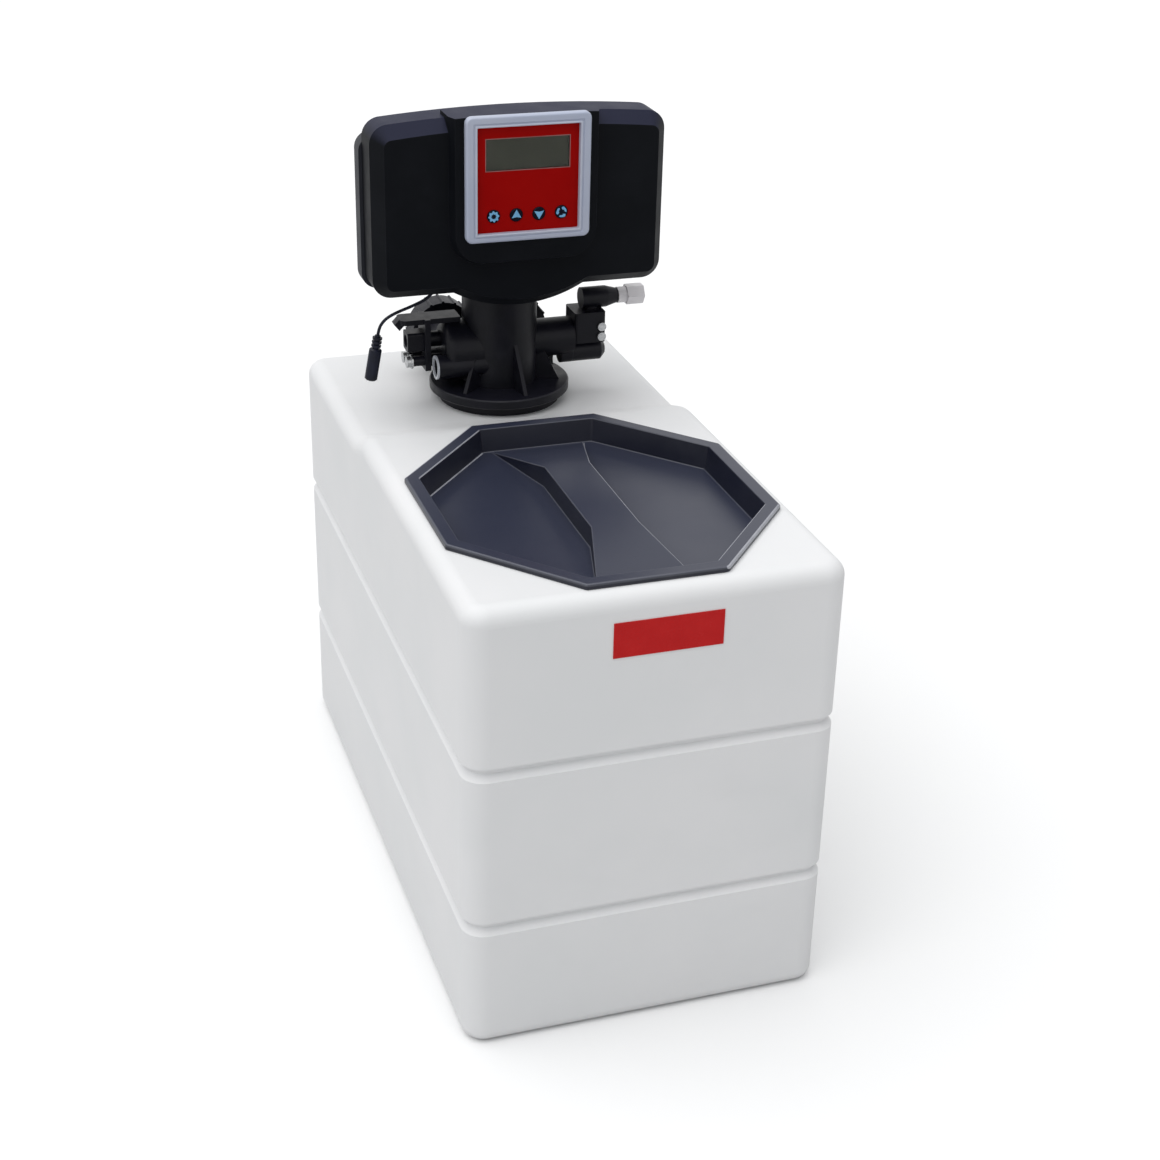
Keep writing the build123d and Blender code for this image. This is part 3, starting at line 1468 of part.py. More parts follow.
# Yoke on the left: a plate bolted to the drain boss and an arm over it
plate_left = -yoke_boss_reach - yoke_plate_thickness
arm_foot = yoke_top - yoke_arm_thickness
with BuildPart() as drain_yoke:
    with BuildSketch(Plane.YZ.offset(plate_left)):
        with Locations((yoke_y, (yoke_plate_foot + yoke_top) / 2)):
            Rectangle(2 * yoke_plate_half_width, yoke_top - yoke_plate_foot)
        with Locations((yoke_y, drain_connector_z)):
            Circle(drain_spigot_radius + fit_gap, mode=Mode.SUBTRACT)
        with Locations(*yoke_bolts_at):
            Circle(yoke_bolt_radius, mode=Mode.SUBTRACT)
    extrude(amount=yoke_plate_thickness)
    with BuildSketch(Plane.XY.offset(arm_foot)) as arm:
        with Locations(((yoke_arm_start + yoke_arm_end) / 2, yoke_y)):
            Rectangle(yoke_arm_start - yoke_arm_end, 2 * yoke_arm_half_width)
        fillet(arm.vertices().group_by(Axis.X)[0], yoke_arm_half_width / 2)
    extrude(amount=yoke_arm_thickness)
    with BuildSketch(Plane.XZ.offset(-yoke_y)):
        with BuildLine():
            Polyline(
                (yoke_arm_end, arm_foot),
                (yoke_arm_end, yoke_top),
                (yoke_arm_end - yoke_arm_thickness, arm_foot),
                (yoke_arm_end, yoke_top - yoke_arm_hook - yoke_arm_thickness),
                (yoke_arm_end + yoke_arm_hook, arm_foot),
                close=True,
            )
        make_face()
    extrude(amount=yoke_arm_half_width / 2, both=True)
drain_yoke.part.label = "drain_yoke"
export_step(drain_yoke.part, "parts/drain_yoke.step")

# Sleeves and bolts of the yoke
with BuildPart() as yoke_sleeves:
    with BuildSketch(Plane.YZ.offset(plate_left)):
        with Locations(*yoke_bolts_at):
            Circle(yoke_sleeve_radius)
            Circle(yoke_bolt_radius, mode=Mode.SUBTRACT)
    extrude(amount=yoke_sleeve_end - plate_left)
yoke_sleeves.part.label = "yoke_sleeves"
export_step(yoke_sleeves.part, "parts/yoke_sleeves.step")

with BuildPart() as yoke_bolts:
    with BuildSketch(Plane.YZ.offset(yoke_sleeve_end)):
        with Locations(*yoke_bolts_at):
            Circle(washer_radius)
    extrude(amount=-washer_thickness)
    with BuildSketch(Plane.YZ.offset(yoke_sleeve_end - washer_thickness)):
        with Locations(*yoke_bolts_at):
            Circle(yoke_bolt_head_radius)
    extrude(amount=-yoke_bolt_head)
    with BuildSketch(Plane.YZ.offset(yoke_sleeve_end)):
        with Locations(*yoke_bolts_at):
            Circle(yoke_bolt_radius)
    extrude(amount=yoke_bolt_grip - yoke_boss_reach - yoke_sleeve_end)
yoke_bolts.part.label = "yoke_bolts"
export_step(yoke_bolts.part, "parts/yoke_bolts.step")

# Drain connector: the square block under the arm, open to the left
connector_left = plate_left - drain_connector_length
with BuildPart() as drain_connector:
    with BuildSketch(Plane.YZ.offset(plate_left)):
        with Locations((yoke_y, drain_connector_z)):
            RectangleRounded(drain_connector_size, drain_connector_size, overrun)
    extrude(amount=-drain_connector_length)
    with BuildSketch(Plane.YZ.offset(plate_left)):
        with Locations((yoke_y, drain_connector_z)):
            Circle(drain_spigot_radius)
    extrude(amount=drain_spigot_end - fit_gap - plate_left)
    with BuildSketch(Plane.YZ.offset(connector_left)):
        with Locations((yoke_y, drain_connector_z)):
            Circle(drain_connector_bore)
    extrude(amount=drain_connector_bore_depth, mode=Mode.SUBTRACT)
drain_connector.part.label = "drain_connector"
export_step(drain_connector.part, "parts/drain_connector.step")

# Pale ring on the side port
with BuildPart() as side_port_ring:
    with BuildSketch(Plane.YZ.offset(-drain_port_reach)):
        with Locations((drain_port_y, drain_port_z)):
            Circle(drain_port_radius)
            Circle(drain_ring_radius, mode=Mode.SUBTRACT)
    extrude(amount=-drain_ring)
side_port_ring.part.label = "side_port_ring"
export_step(side_port_ring.part, "parts/side_port_ring.step")

# Injector housing on the right, its cap and its screws
injector_middle = (injector_boss_reach + injector_boss_reach + injector_width) / 2
injector_screw_x = injector_boss_reach + injector_width - injector_screw_inset
injector_screws_at = [(injector_screw_x, level) for level in injector_screw_levels]
with BuildPart() as injector_body:
    with BuildSketch(Plane.XY.offset(injector_foot)):
        with Locations((injector_middle, injector_front + injector_depth / 2)):
            RectangleRounded(injector_width, injector_depth, overrun)
    extrude(amount=injector_top - injector_foot)
    with BuildSketch(Plane.YZ.offset(injector_boss_reach)):
        with Locations((valve_y, injector_spigot_z)):
            Circle(injector_spigot_radius)
    extrude(amount=fit_gap - injector_spigot_length)
    with BuildSketch(Plane.XY.offset(injector_top)):
        with Locations((brine_leg_x, valve_y)):
            Circle(brine_leg_radius + fit_gap)
    extrude(amount=-brine_spigot_length, mode=Mode.SUBTRACT)
    with BuildSketch(across(injector_front)):
        with Locations(*injector_screws_at):
            Circle(screw_radius)
    extrude(amount=-screw_length, mode=Mode.SUBTRACT)
injector_body.part.label = "injector_body"
export_step(injector_body.part, "parts/injector_body.step")

with BuildPart() as injector_screws:
    with BuildSketch(across(injector_front)):
        with Locations(*injector_screws_at):
            Circle(screw_head_radius)
    extrude(amount=screw_head)
    with BuildSketch(across(injector_front)):
        with Locations(*injector_screws_at):
            Circle(screw_radius)
    extrude(amount=-screw_length)
injector_screws.part.label = "injector_screws"
export_step(injector_screws.part, "parts/injector_screws.step")

with BuildPart() as injector_cap:
    with BuildSketch(Plane.YZ.offset(injector_cap_start)):
        with Locations((valve_y, injector_cap_z)):
            RegularPolygon(injector_cap_radius, injector_cap_sides)
    extrude(amount=injector_cap_end - injector_cap_start)
    chamfer(injector_cap.faces().sort_by(Axis.X)[-1].edges(), injector_cap_chamfer)
    with BuildSketch(Plane.YZ.offset(injector_cap_start)):
        with Locations((valve_y, injector_cap_z)):
            Circle(injector_spigot_radius)
    extrude(amount=fit_gap - injector_spigot_length)
injector_cap.part.label = "injector_cap"
export_step(injector_cap.part, "parts/injector_cap.step")

# Brine elbow on the injector, its collar and its nut
nut_start = brine_elbow_end + brine_collar_length
nut_end = nut_start + brine_nut_length
with BuildPart() as brine_elbow:
    with BuildSketch(Plane((0, valve_y, brine_elbow_z), x_dir=(1, 0, 0), z_dir=(0, -1, 0))):
        with BuildLine():
            Polyline(
                (brine_elbow_start, 0),
                (brine_elbow_start, brine_elbow_radius),
                ((brine_elbow_start + 2 * brine_elbow_end) / 3, brine_elbow_radius),
                (brine_elbow_end, brine_elbow_nose),
                (brine_elbow_end, brine_spigot_radius),
                (brine_elbow_end + brine_spigot_length, brine_spigot_radius),
                (brine_elbow_end + brine_spigot_length, 0),
                close=True,
            )
        make_face()
    revolve(axis=Axis((0, valve_y, brine_elbow_z), (1, 0, 0)))
    with BuildSketch(Plane.XY.offset(brine_elbow_z)):
        with Locations((brine_leg_x, valve_y)):
            Circle(brine_leg_radius)
    extrude(amount=injector_top - brine_spigot_length + fit_gap - brine_elbow_z)
brine_elbow.part.label = "brine_elbow"
export_step(brine_elbow.part, "parts/brine_elbow.step")

with BuildPart() as brine_collar:
    with BuildSketch(Plane.YZ.offset(brine_elbow_end)):
        with Locations((valve_y, brine_elbow_z)):
            Circle(brine_collar_radius)
            Circle(brine_spigot_radius + fit_gap, mode=Mode.SUBTRACT)
    extrude(amount=brine_collar_length)
brine_collar.part.label = "brine_collar"
export_step(brine_collar.part, "parts/brine_collar.step")

with BuildPart() as brine_nut:
    with BuildSketch(Plane.YZ.offset(nut_start)):
        with Locations((valve_y, brine_elbow_z)):
            RegularPolygon(brine_nut_across / 2, 6, major_radius=False)
    extrude(amount=brine_nut_length)
    with BuildSketch(Plane.YZ.offset(nut_start)):
        with Locations((valve_y, brine_elbow_z)):
            Circle(brine_spigot_radius + fit_gap)
    extrude(amount=brine_nut_length, mode=Mode.SUBTRACT)
    with BuildSketch(Plane.YZ.offset(nut_end)):
        with Locations((valve_y, brine_elbow_z)):
            Circle(brine_bore_radius)
    extrude(amount=-brine_bore_depth, mode=Mode.SUBTRACT)
brine_nut.part.label = "brine_nut"
export_step(brine_nut.part, "parts/brine_nut.step")

# Union nuts and tailpieces on the two line ports
nut_front = port_front - union_nut_lap
collar_back = port_front + tail_collar_length
thread_start = nut_front + union_nut_length + tail_neck_lap
with BuildPart() as union_nuts:
    with BuildSketch(across(nut_front)):
        with Locations(*line_ports):
            Circle(union_nut_radius - union_rib)
            with PolarLocations(union_nut_radius - union_rib, union_nut_ribs):
                Circle(union_rib)
    extrude(amount=-union_nut_length)
    with BuildSketch(across(nut_front)):
        with Locations(*line_ports):
            Circle(line_port_radius + fit_gap)
    extrude(amount=nut_front - collar_back - fit_gap, mode=Mode.SUBTRACT)
    with BuildSketch(across(nut_front)):
        with Locations(*line_ports):
            Circle(tail_radius + fit_gap)
    extrude(amount=-union_nut_length, mode=Mode.SUBTRACT)
union_nuts.part.label = "union_nuts"
export_step(union_nuts.part, "parts/union_nuts.step")

with BuildPart() as tailpieces:
    with BuildSketch(across(port_front)):
        with Locations(*line_ports):
            Circle(tail_collar_radius)
    extrude(amount=-tail_collar_length)
    with BuildSketch(across(collar_back)):
        with Locations(*line_ports):
            Circle(tail_neck_radius)
    extrude(amount=collar_back - thread_start)
    with BuildSketch(across(thread_start)):
        with Locations(*line_ports):
            Circle(tail_radius)
    extrude(amount=thread_start - collar_back - tail_length)
    chamfer(tailpieces.faces().group_by(Axis.Y)[-1].edges(), tail_bevel)
    with BuildSketch(across(port_front)):
        with Locations(*line_ports):
            Circle(tail_bore_radius)
    extrude(amount=-tail_collar_length - tail_length, mode=Mode.SUBTRACT)
tailpieces.part.label = "tailpieces"
export_step(tailpieces.part, "parts/tailpieces.step")

# Flow meter in the outlet: a spider with its pin, and the turbine that spins on it
outlet = (-line_port_spacing / 2, line_port_z)
wheel_front = valve_y + turbine_start
spider_front = wheel_front - spider_setback
pin_back = wheel_front + turbine_length + spider_setback
with BuildPart() as meter_spider:
    with BuildSketch(across(spider_front)):
        with Locations(outlet):
            Circle(line_bore_radius)
            Circle(line_bore_radius - spider_thickness, mode=Mode.SUBTRACT)
            with PolarLocations(0, 3):
                Rectangle(line_bore_radius - spider_thickness / 2, spider_arm, align=(Align.MIN, Align.CENTER))
            Circle(spider_arm)
    extrude(amount=-spider_thickness)
    with BuildSketch(across(spider_front)):
        with Locations(outlet):
            Circle(turbine_pin_radius)
    extrude(amount=spider_front - pin_back)
meter_spider.part.label = "meter_spider"
export_step(meter_spider.part, "parts/meter_spider.step")

with BuildPart() as turbine:
    with BuildSketch(across(wheel_front)):
        with Locations(outlet):
            Circle(turbine_hub_radius)
    extrude(amount=-turbine_length)
    for number in range(turbine_blades):
        turn = 2 * math.pi * number / turbine_blades
        lean = math.radians(turbine_lean)
        reach = turbine_radius - turbine_hub_radius / 2
        start = (
            outlet[0] + turbine_hub_radius / 2 * math.cos(turn),
            wheel_front + turbine_length / 2,
            outlet[1] + turbine_hub_radius / 2 * math.sin(turn),
        )
        across_blade = (
            -math.sin(turn) * math.sin(lean),
            math.cos(lean),
            math.cos(turn) * math.sin(lean),
        )
        with BuildSketch(Plane(start, x_dir=across_blade, z_dir=(math.cos(turn), 0, math.sin(turn)))):
            Rectangle(turbine_length, turbine_blade)
        extrude(amount=reach)
    with BuildSketch(across(wheel_front - overrun)):
        with Locations(outlet):
            Circle(turbine_radius)
    extrude(amount=-turbine_length - 2 * overrun, mode=Mode.INTERSECT)
    with BuildSketch(across(wheel_front)):
        with Locations(outlet):
            Circle(turbine_pin_radius + turbine_pin_gap)
    extrude(amount=-turbine_length, mode=Mode.SUBTRACT)
turbine.part.label = "turbine"
export_step(turbine.part, "parts/turbine.step")

with BuildPart() as turbine_clip:
    with BuildSketch(across(wheel_front + turbine_length + seat_gap)):
        with Locations(outlet):
            Circle(turbine_clip_radius)
            Circle(turbine_pin_radius, mode=Mode.SUBTRACT)
    extrude(amount=-turbine_clip_thickness)
turbine_clip.part.label = "turbine_clip"
export_step(turbine_clip.part, "parts/turbine_clip.step")

# Brine well, its cap, and the float on its rod
with BuildPart() as brine_well:
    with BuildSketch(Plane.XY.offset(cabinet_wall)):
        with Locations((well_x, well_y)):
            Circle(well_radius)
            Circle(well_radius - well_wall, mode=Mode.SUBTRACT)
    extrude(amount=well_height)
    with BuildSketch(Plane.XY.offset(cabinet_wall)):
        with Locations((well_x, well_y)):
            with PolarLocations(well_radius, 4, 45):
                Rectangle(4 * well_wall, well_slot)
            with PolarLocations(well_radius, 4):
                Rectangle(4 * well_wall, well_slot)
    extrude(amount=well_slot_height, mode=Mode.SUBTRACT)
brine_well.part.label = "brine_well"
export_step(brine_well.part, "parts/brine_well.step")

with BuildPart() as brine_well_cap:
    with BuildSketch(Plane.XY.offset(well_top + well_cap_top)):
        with Locations((well_x, well_y)):
            Circle(well_radius + fit_gap + well_wall)
    extrude(amount=-well_cap_height)
    with BuildSketch(Plane.XY.offset(well_top)):
        with Locations((well_x, well_y)):
            Circle(well_radius + fit_gap)
    extrude(amount=-well_cap_height, mode=Mode.SUBTRACT)
brine_well_cap.part.label = "brine_well_cap"
export_step(brine_well_cap.part, "parts/brine_well_cap.step")

with BuildPart() as air_check:
    with BuildSketch(Plane.XY.offset(cabinet_wall)):
        with Locations((well_x, well_y)):
            Circle(air_check_radius)
    extrude(amount=air_check_height)
    with BuildSketch(Plane.XY.offset(cabinet_wall)):
        with Locations((well_x, well_y)):
            Circle(float_rod_radius)
    extrude(amount=rod_top - cabinet_wall)
air_check.part.label = "air_check"
export_step(air_check.part, "parts/air_check.step")

with BuildPart() as float_stops:
    with BuildSketch(Plane.XY.offset(float_rest - seat_gap)):
        with Locations((well_x, well_y)):
            Circle(2 * float_rod_radius)
            Circle(float_rod_radius, mode=Mode.SUBTRACT)
    extrude(amount=-float_stop)
    with BuildSketch(Plane.XY.offset(float_rest + float_height + float_travel + seat_gap)):
        with Locations((well_x, well_y)):
            Circle(2 * float_rod_radius)
            Circle(float_rod_radius, mode=Mode.SUBTRACT)
    extrude(amount=float_stop)
float_stops.part.label = "float_stops"
export_step(float_stops.part, "parts/float_stops.step")

with BuildPart() as brine_float:
    with BuildSketch(Plane.XY.offset(float_rest)):
        with Locations((well_x, well_y)):
            Circle(float_radius)
    extrude(amount=float_height)
    fillet(brine_float.edges(), float_rod_radius)
    with Locations((well_x, well_y, float_rest + float_height)):
        Hole(float_rod_radius + rod_gap, float_height)
brine_float.part.label = "brine_float"
export_step(brine_float.part, "parts/brine_float.step")

# Overflow elbow through the rear wall, and the nut inside
elbow_end = half_depth + overflow_flange + overflow_reach
overflow_face = Plane((overflow_x, half_depth, overflow_z), z_dir=(0, 1, 0))
with BuildPart() as overflow_elbow:
    with BuildSketch(overflow_face):
        Circle(overflow_flange_radius)
    extrude(amount=overflow_flange)
    with BuildSketch(overflow_face.offset(-overflow_inside)):
        Circle(overflow_radius)
    extrude(amount=overflow_inside + overflow_flange + overflow_reach)
    with Locations((overflow_x, elbow_end, overflow_z)):
        Sphere(overflow_radius + overflow_ball)
    with BuildSketch(Plane((overflow_x, elbow_end, overflow_z))):
        Circle(overflow_radius)
    extrude(amount=overflow_spigot - overflow_drop)
    with BuildSketch(Plane((overflow_x, elbow_end, overflow_z - overflow_drop))):
        Circle(overflow_spigot_radius)
    extrude(amount=overflow_spigot)
    with BuildSketch(overflow_face.offset(-overflow_inside)):
        Circle(overflow_bore)
    extrude(amount=overflow_inside + overflow_flange + overflow_reach, mode=Mode.SUBTRACT)
    with Locations((overflow_x, elbow_end, overflow_z)):
        Sphere(overflow_bore + overflow_ball, mode=Mode.SUBTRACT)
    with BuildSketch(Plane((overflow_x, elbow_end, overflow_z))):
        Circle(overflow_bore)
    extrude(amount=-overflow_drop, mode=Mode.SUBTRACT)
overflow_elbow.part.label = "overflow_elbow"
export_step(overflow_elbow.part, "parts/overflow_elbow.step")

with BuildPart() as overflow_nut:
    with BuildSketch(overflow_face.offset(-cabinet_wall)):
        RegularPolygon(overflow_nut_radius, 6)
        Circle(overflow_radius, mode=Mode.SUBTRACT)
    extrude(amount=-overflow_nut_height)
overflow_nut.part.label = "overflow_nut"
export_step(overflow_nut.part, "parts/overflow_nut.step")

# Power lead, the grommet it leaves by and the socket on its end
lead_points = [Vector(*point) for point in lead_route]
lead_runs = [after - before for before, after in zip(lead_points, lead_points[1:])]
lead_radii = []
for before, after in zip(lead_runs, lead_runs[1:]):
    half_bend = math.radians(before.get_angle(after)) / 2
    lead_radii.append(bend_share * min(before.length, after.length) / math.tan(half_bend))
print("power lead bend radii", [round(radius, 1) for radius in lead_radii])
lead_start = Plane(lead_points[0], z_dir=lead_runs[0])
with BuildPart() as cable_grommet:
    with BuildSketch(Plane.XY.offset(head_base - grommet_lip)):
        with Locations((lead_x, lead_y)):
            Circle(grommet_lip_radius)
    extrude(amount=grommet_lip)
    with BuildSketch(Plane.XY.offset(head_base)):
        with Locations((lead_x, lead_y)):
            Circle(grommet_radius)
    extrude(amount=frame_rim)
    with BuildSketch(Plane.XY.offset(head_base + frame_rim)):
        with Locations((lead_x, lead_y)):
            Circle(grommet_lip_radius)
    extrude(amount=grommet_lip)
    with BuildSketch(Plane((lead_x, lead_y, head_base - grommet_nozzle), z_dir=lead_runs[0])):
        Circle(grommet_nozzle_radius)
    extrude(amount=-grommet_nozzle)
cable_grommet.part.label = "cable_grommet"
export_step(cable_grommet.part, "parts/cable_grommet.step")

with BuildPart() as power_lead:
    with BuildLine():
        lead_line = FilletPolyline(*lead_points, radius=lead_radii)
    with BuildSketch(lead_start):
        Circle(lead_radius)
    sweep()
lead_volume = math.pi * lead_radius ** 2 * lead_line.length
print("power lead length", round(lead_line.length, 1))
print("power lead volume", round(power_lead.part.volume, 1), "of", round(lead_volume, 1))
power_lead.part.label = "power_lead"
export_step(power_lead.part, "parts/power_lead.step")

socket_face = Plane(lead_points[-1], z_dir=lead_runs[-1])
relief_ridge = socket_relief_length / 7
with BuildPart() as power_socket:
    with BuildSketch(socket_face):
        Circle(socket_relief_radius - relief_ridge / 2)
    extrude(amount=socket_relief_length)
    for number in (1, 3, 5):
        with BuildSketch(socket_face.offset(number * relief_ridge)):
            Circle(socket_relief_radius + relief_ridge / 2)
        extrude(amount=relief_ridge)
    with BuildSketch(socket_face.offset(socket_relief_length)):
        Circle(socket_radius)
    extrude(amount=socket_length)
    chamfer(power_socket.edges().filter_by(GeomType.CIRCLE).sort_by(SortBy.RADIUS)[-2:], socket_bevel)
    with BuildSketch(socket_face.offset(socket_relief_length + socket_length)):
        Circle(socket_bore_radius)
    extrude(amount=-socket_bore_depth, mode=Mode.SUBTRACT)
power_socket.part.label = "power_socket"
export_step(power_socket.part, "parts/power_socket.step")
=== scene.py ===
import json
import math
import bmesh
import bpy
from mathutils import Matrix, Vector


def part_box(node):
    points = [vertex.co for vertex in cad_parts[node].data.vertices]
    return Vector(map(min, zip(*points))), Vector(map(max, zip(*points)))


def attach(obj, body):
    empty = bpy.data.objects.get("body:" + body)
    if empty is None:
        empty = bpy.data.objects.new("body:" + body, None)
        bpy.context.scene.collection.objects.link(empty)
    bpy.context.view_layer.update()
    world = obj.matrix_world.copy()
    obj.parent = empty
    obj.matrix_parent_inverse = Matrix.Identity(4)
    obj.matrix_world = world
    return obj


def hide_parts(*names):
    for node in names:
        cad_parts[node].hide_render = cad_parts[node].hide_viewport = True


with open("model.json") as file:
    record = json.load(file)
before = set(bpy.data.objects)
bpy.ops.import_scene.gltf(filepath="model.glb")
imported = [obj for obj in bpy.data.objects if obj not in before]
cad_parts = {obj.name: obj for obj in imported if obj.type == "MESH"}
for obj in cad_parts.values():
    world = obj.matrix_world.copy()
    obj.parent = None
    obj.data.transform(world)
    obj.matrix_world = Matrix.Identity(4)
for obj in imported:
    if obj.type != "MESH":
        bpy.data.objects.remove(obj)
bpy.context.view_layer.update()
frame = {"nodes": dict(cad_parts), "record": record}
mainBody = "cabinet_and_valve"
mergeWithin = 0.00001  # metres, points closer than this are one
print("frame loaded")


def paint(red, green, blue):
    # screen colour 0 to 255 as the linear colour that the shader wants
    return tuple(((c / 255 + 0.055) / 1.055) ** 2.4 if c > 10 else c / 3294.6 for c in (red, green, blue))


def deselectAll():
    if bpy.context.mode != "OBJECT":
        bpy.ops.object.mode_set(mode="OBJECT")
    bpy.ops.object.select_all(action="DESELECT")


def pick(piece):
    deselectAll()
    piece.select_set(True)
    bpy.context.view_layer.objects.active = piece


def settle(piece):
    # place, turn and scale go into the mesh
    pick(piece)
    bpy.ops.object.transform_apply(location=True, rotation=True, scale=True)


def openMesh():
    # the active piece in edit mode, with all of it selected
    bpy.ops.object.mode_set(mode="EDIT")
    bpy.ops.mesh.select_all(action="SELECT")


def closeMesh():
    # faces turned outwards, then back to object mode
    bpy.ops.mesh.select_all(action="SELECT")
    bpy.ops.mesh.normals_make_consistent(inside=False)
    bpy.ops.object.mode_set(mode="OBJECT")


def applyLast(piece):
    bpy.ops.object.modifier_apply(modifier=piece.modifiers[-1].name)


def smoothBelow(piece, degrees):
    # smooth shading up to an angle, with the large faces kept flat beside the rounded edges
    bpy.ops.object.shade_smooth_by_angle(angle=math.radians(degrees))
    bpy.ops.object.modifier_add(type="WEIGHTED_NORMAL")
    piece.modifiers[-1].keep_sharp = True
    applyLast(piece)


def place(piece, finish, body=mainBody, replaced=()):
    piece.data.materials.clear()
    piece.data.materials.append(finish)
    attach(piece, body)
    if replaced:
        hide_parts(*replaced)


# camera
cameraValues = {"place": (-0.40701, -1.27731, 0.89013), "turn": (63.4210, -1.2169, -18.2226),
                "lens": 61.304, "sensor": 36.0, "nearest": 0.01}
deselectAll()
bpy.ops.object.camera_add(location=cameraValues["place"], rotation=[math.radians(a) for a in cameraValues["turn"]])
camera = bpy.context.object
camera.name = "photoCamera"
camera.data.sensor_width = cameraValues["sensor"]
camera.data.lens = cameraValues["lens"]
camera.data.clip_start = cameraValues["nearest"]
bpy.context.scene.camera = camera
print("camera placed")

# power lead, the same route as in the solids
leadValues = {
    "route": [(-0.054, 0.107, 0.4255), (-0.0563, 0.107, 0.4178), (-0.0622, 0.1073, 0.412), (-0.073, 0.107, 0.4076),
              (-0.085, 0.1073, 0.4036), (-0.0925, 0.107, 0.4002), (-0.0966, 0.1072, 0.3963),
              (-0.0992, 0.107, 0.3919), (-0.1001, 0.107, 0.387)],
    "thick": 0.0024, "length": 0.0642, "stepsAlong": 16, "stepsRound": 5}
leadCurve = bpy.data.curves.new("powerLeadSheath", "CURVE")
leadCurve.dimensions = "3D"
leadLine = leadCurve.splines.new("NURBS")
leadLine.points.add(len(leadValues["route"]) - 1)
for point, spot in zip(leadLine.points, leadValues["route"]):
    point.co = (*spot, 1)
leadLine.order_u = 3
leadLine.use_endpoint_u = True
leadCurve.resolution_u = leadValues["stepsAlong"]
leadCurve.bevel_depth = leadValues["thick"] / 2
leadCurve.bevel_resolution = leadValues["stepsRound"]
leadCurve.use_fill_caps = True
powerLead = bpy.data.objects.new("powerLeadSheath", leadCurve)
bpy.context.scene.collection.objects.link(powerLead)
print("lead laid")

# steps that the finishes are put together from
mixSockets = {"first": 6, "second": 7, "result": 2}  # the colour sockets of a Mix node


def startFinish(name):
    finish = bpy.data.materials.new(name)
    finish.use_nodes = True
    tree = finish.node_tree
    spot = tree.nodes.new("ShaderNodeTexCoord").outputs["Object"]
    return finish, tree, tree.nodes["Principled BSDF"], spot


def addNoise(tree, spot, scale, detail=3.0, stretch=(1.0, 1.0, 1.0)):
    mapping = tree.nodes.new("ShaderNodeMapping")
    mapping.inputs["Scale"].default_value = stretch
    noise = tree.nodes.new("ShaderNodeTexNoise")
    noise.inputs["Scale"].default_value = scale
    noise.inputs["Detail"].default_value = detail
    tree.links.new(spot, mapping.inputs["Vector"])
    tree.links.new(mapping.outputs["Vector"], noise.inputs["Vector"])
    return noise.outputs["Fac"]


def addRange(tree, value, seen, wanted=(0.0, 1.0)):
    # spreads the values seen, low to high, over the ones wanted
    spread = tree.nodes.new("ShaderNodeMapRange")
    for socket, number in zip(("From Min", "From Max", "To Min", "To Max"), (*seen, *wanted)):
        spread.inputs[socket].default_value = number
    tree.links.new(value, spread.inputs["Value"])
    return spread.outputs["Result"]


def addMath(tree, kind, first, second):
    node = tree.nodes.new("ShaderNodeMath")
    node.operation = kind
    tree.links.new(first, node.inputs[0])
    tree.links.new(second, node.inputs[1])
    return node.outputs[0]


def addMix(tree, share, first, second):
    # first and second are colours, or sockets that give one
    mix = tree.nodes.new("ShaderNodeMix")
    mix.data_type = "RGBA"
    tree.links.new(share, mix.inputs["Factor"])
    for socket, value in (("first", first), ("second", second)):
        if isinstance(value, tuple):
            mix.inputs[mixSockets[socket]].default_value = (*value, 1.0)
        else:
            tree.links.new(value, mix.inputs[mixSockets[socket]])
    return mix.outputs[mixSockets["result"]]


def addBump(tree, shader, height, strength, depth, under=None):
    bump = tree.nodes.new("ShaderNodeBump")
    bump.inputs["Strength"].default_value = strength
    bump.inputs["Distance"].default_value = depth
    tree.links.new(height, bump.inputs["Height"])
    if under is not None:
        tree.links.new(under, bump.inputs["Normal"])
    tree.links.new(bump.outputs["Normal"], shader.inputs["Normal"])
    return bump.outputs["Normal"]


# studio: two soft lamps, a pale world and a white floor; turns and softness in degrees
studioValues = {
    "world": 0.42, "worldTint": (0.97, 0.985, 1.0), "backdrop": 1.0, "lampHeight": 2.0,
    "lamps": {"overheadLamp": {"strength": 2.15, "turn": (0, -13, 0), "softness": 78},
              "sideLamp": {"strength": 0.2, "turn": (48, 0, -55), "softness": 40}},
    "floor": 0.95, "bounce": 0.68, "floorSize": 16.0, "floorLevel": -0.0002}


def addWorld():
    # white where it is seen or reflected, dimmer where it lights
    world = bpy.data.worlds.new("studioWorld")
    bpy.context.scene.world = world
    world.use_nodes = True
    tree = world.node_tree
    backdrop = tree.nodes["Background"]
    backdrop.inputs["Color"].default_value = (1.0, 1.0, 1.0, 1.0)
    backdrop.inputs["Strength"].default_value = studioValues["backdrop"]
    roomLight = tree.nodes.new("ShaderNodeBackground")
    roomLight.inputs["Color"].default_value = (*studioValues["worldTint"], 1.0)
    roomLight.inputs["Strength"].default_value = studioValues["world"]
    rays = tree.nodes.new("ShaderNodeLightPath").outputs
    seen = addMath(tree, "MAXIMUM", rays["Is Camera Ray"], rays["Is Glossy Ray"])
    seen = addMath(tree, "MAXIMUM", seen, rays["Is Transmission Ray"])
    mix = tree.nodes.new("ShaderNodeMixShader")
    for socket, source in enumerate((seen, roomLight.outputs[0], backdrop.outputs[0])):
        tree.links.new(source, mix.inputs[socket])
    tree.links.new(mix.outputs[0], tree.nodes["World Output"].inputs["Surface"])


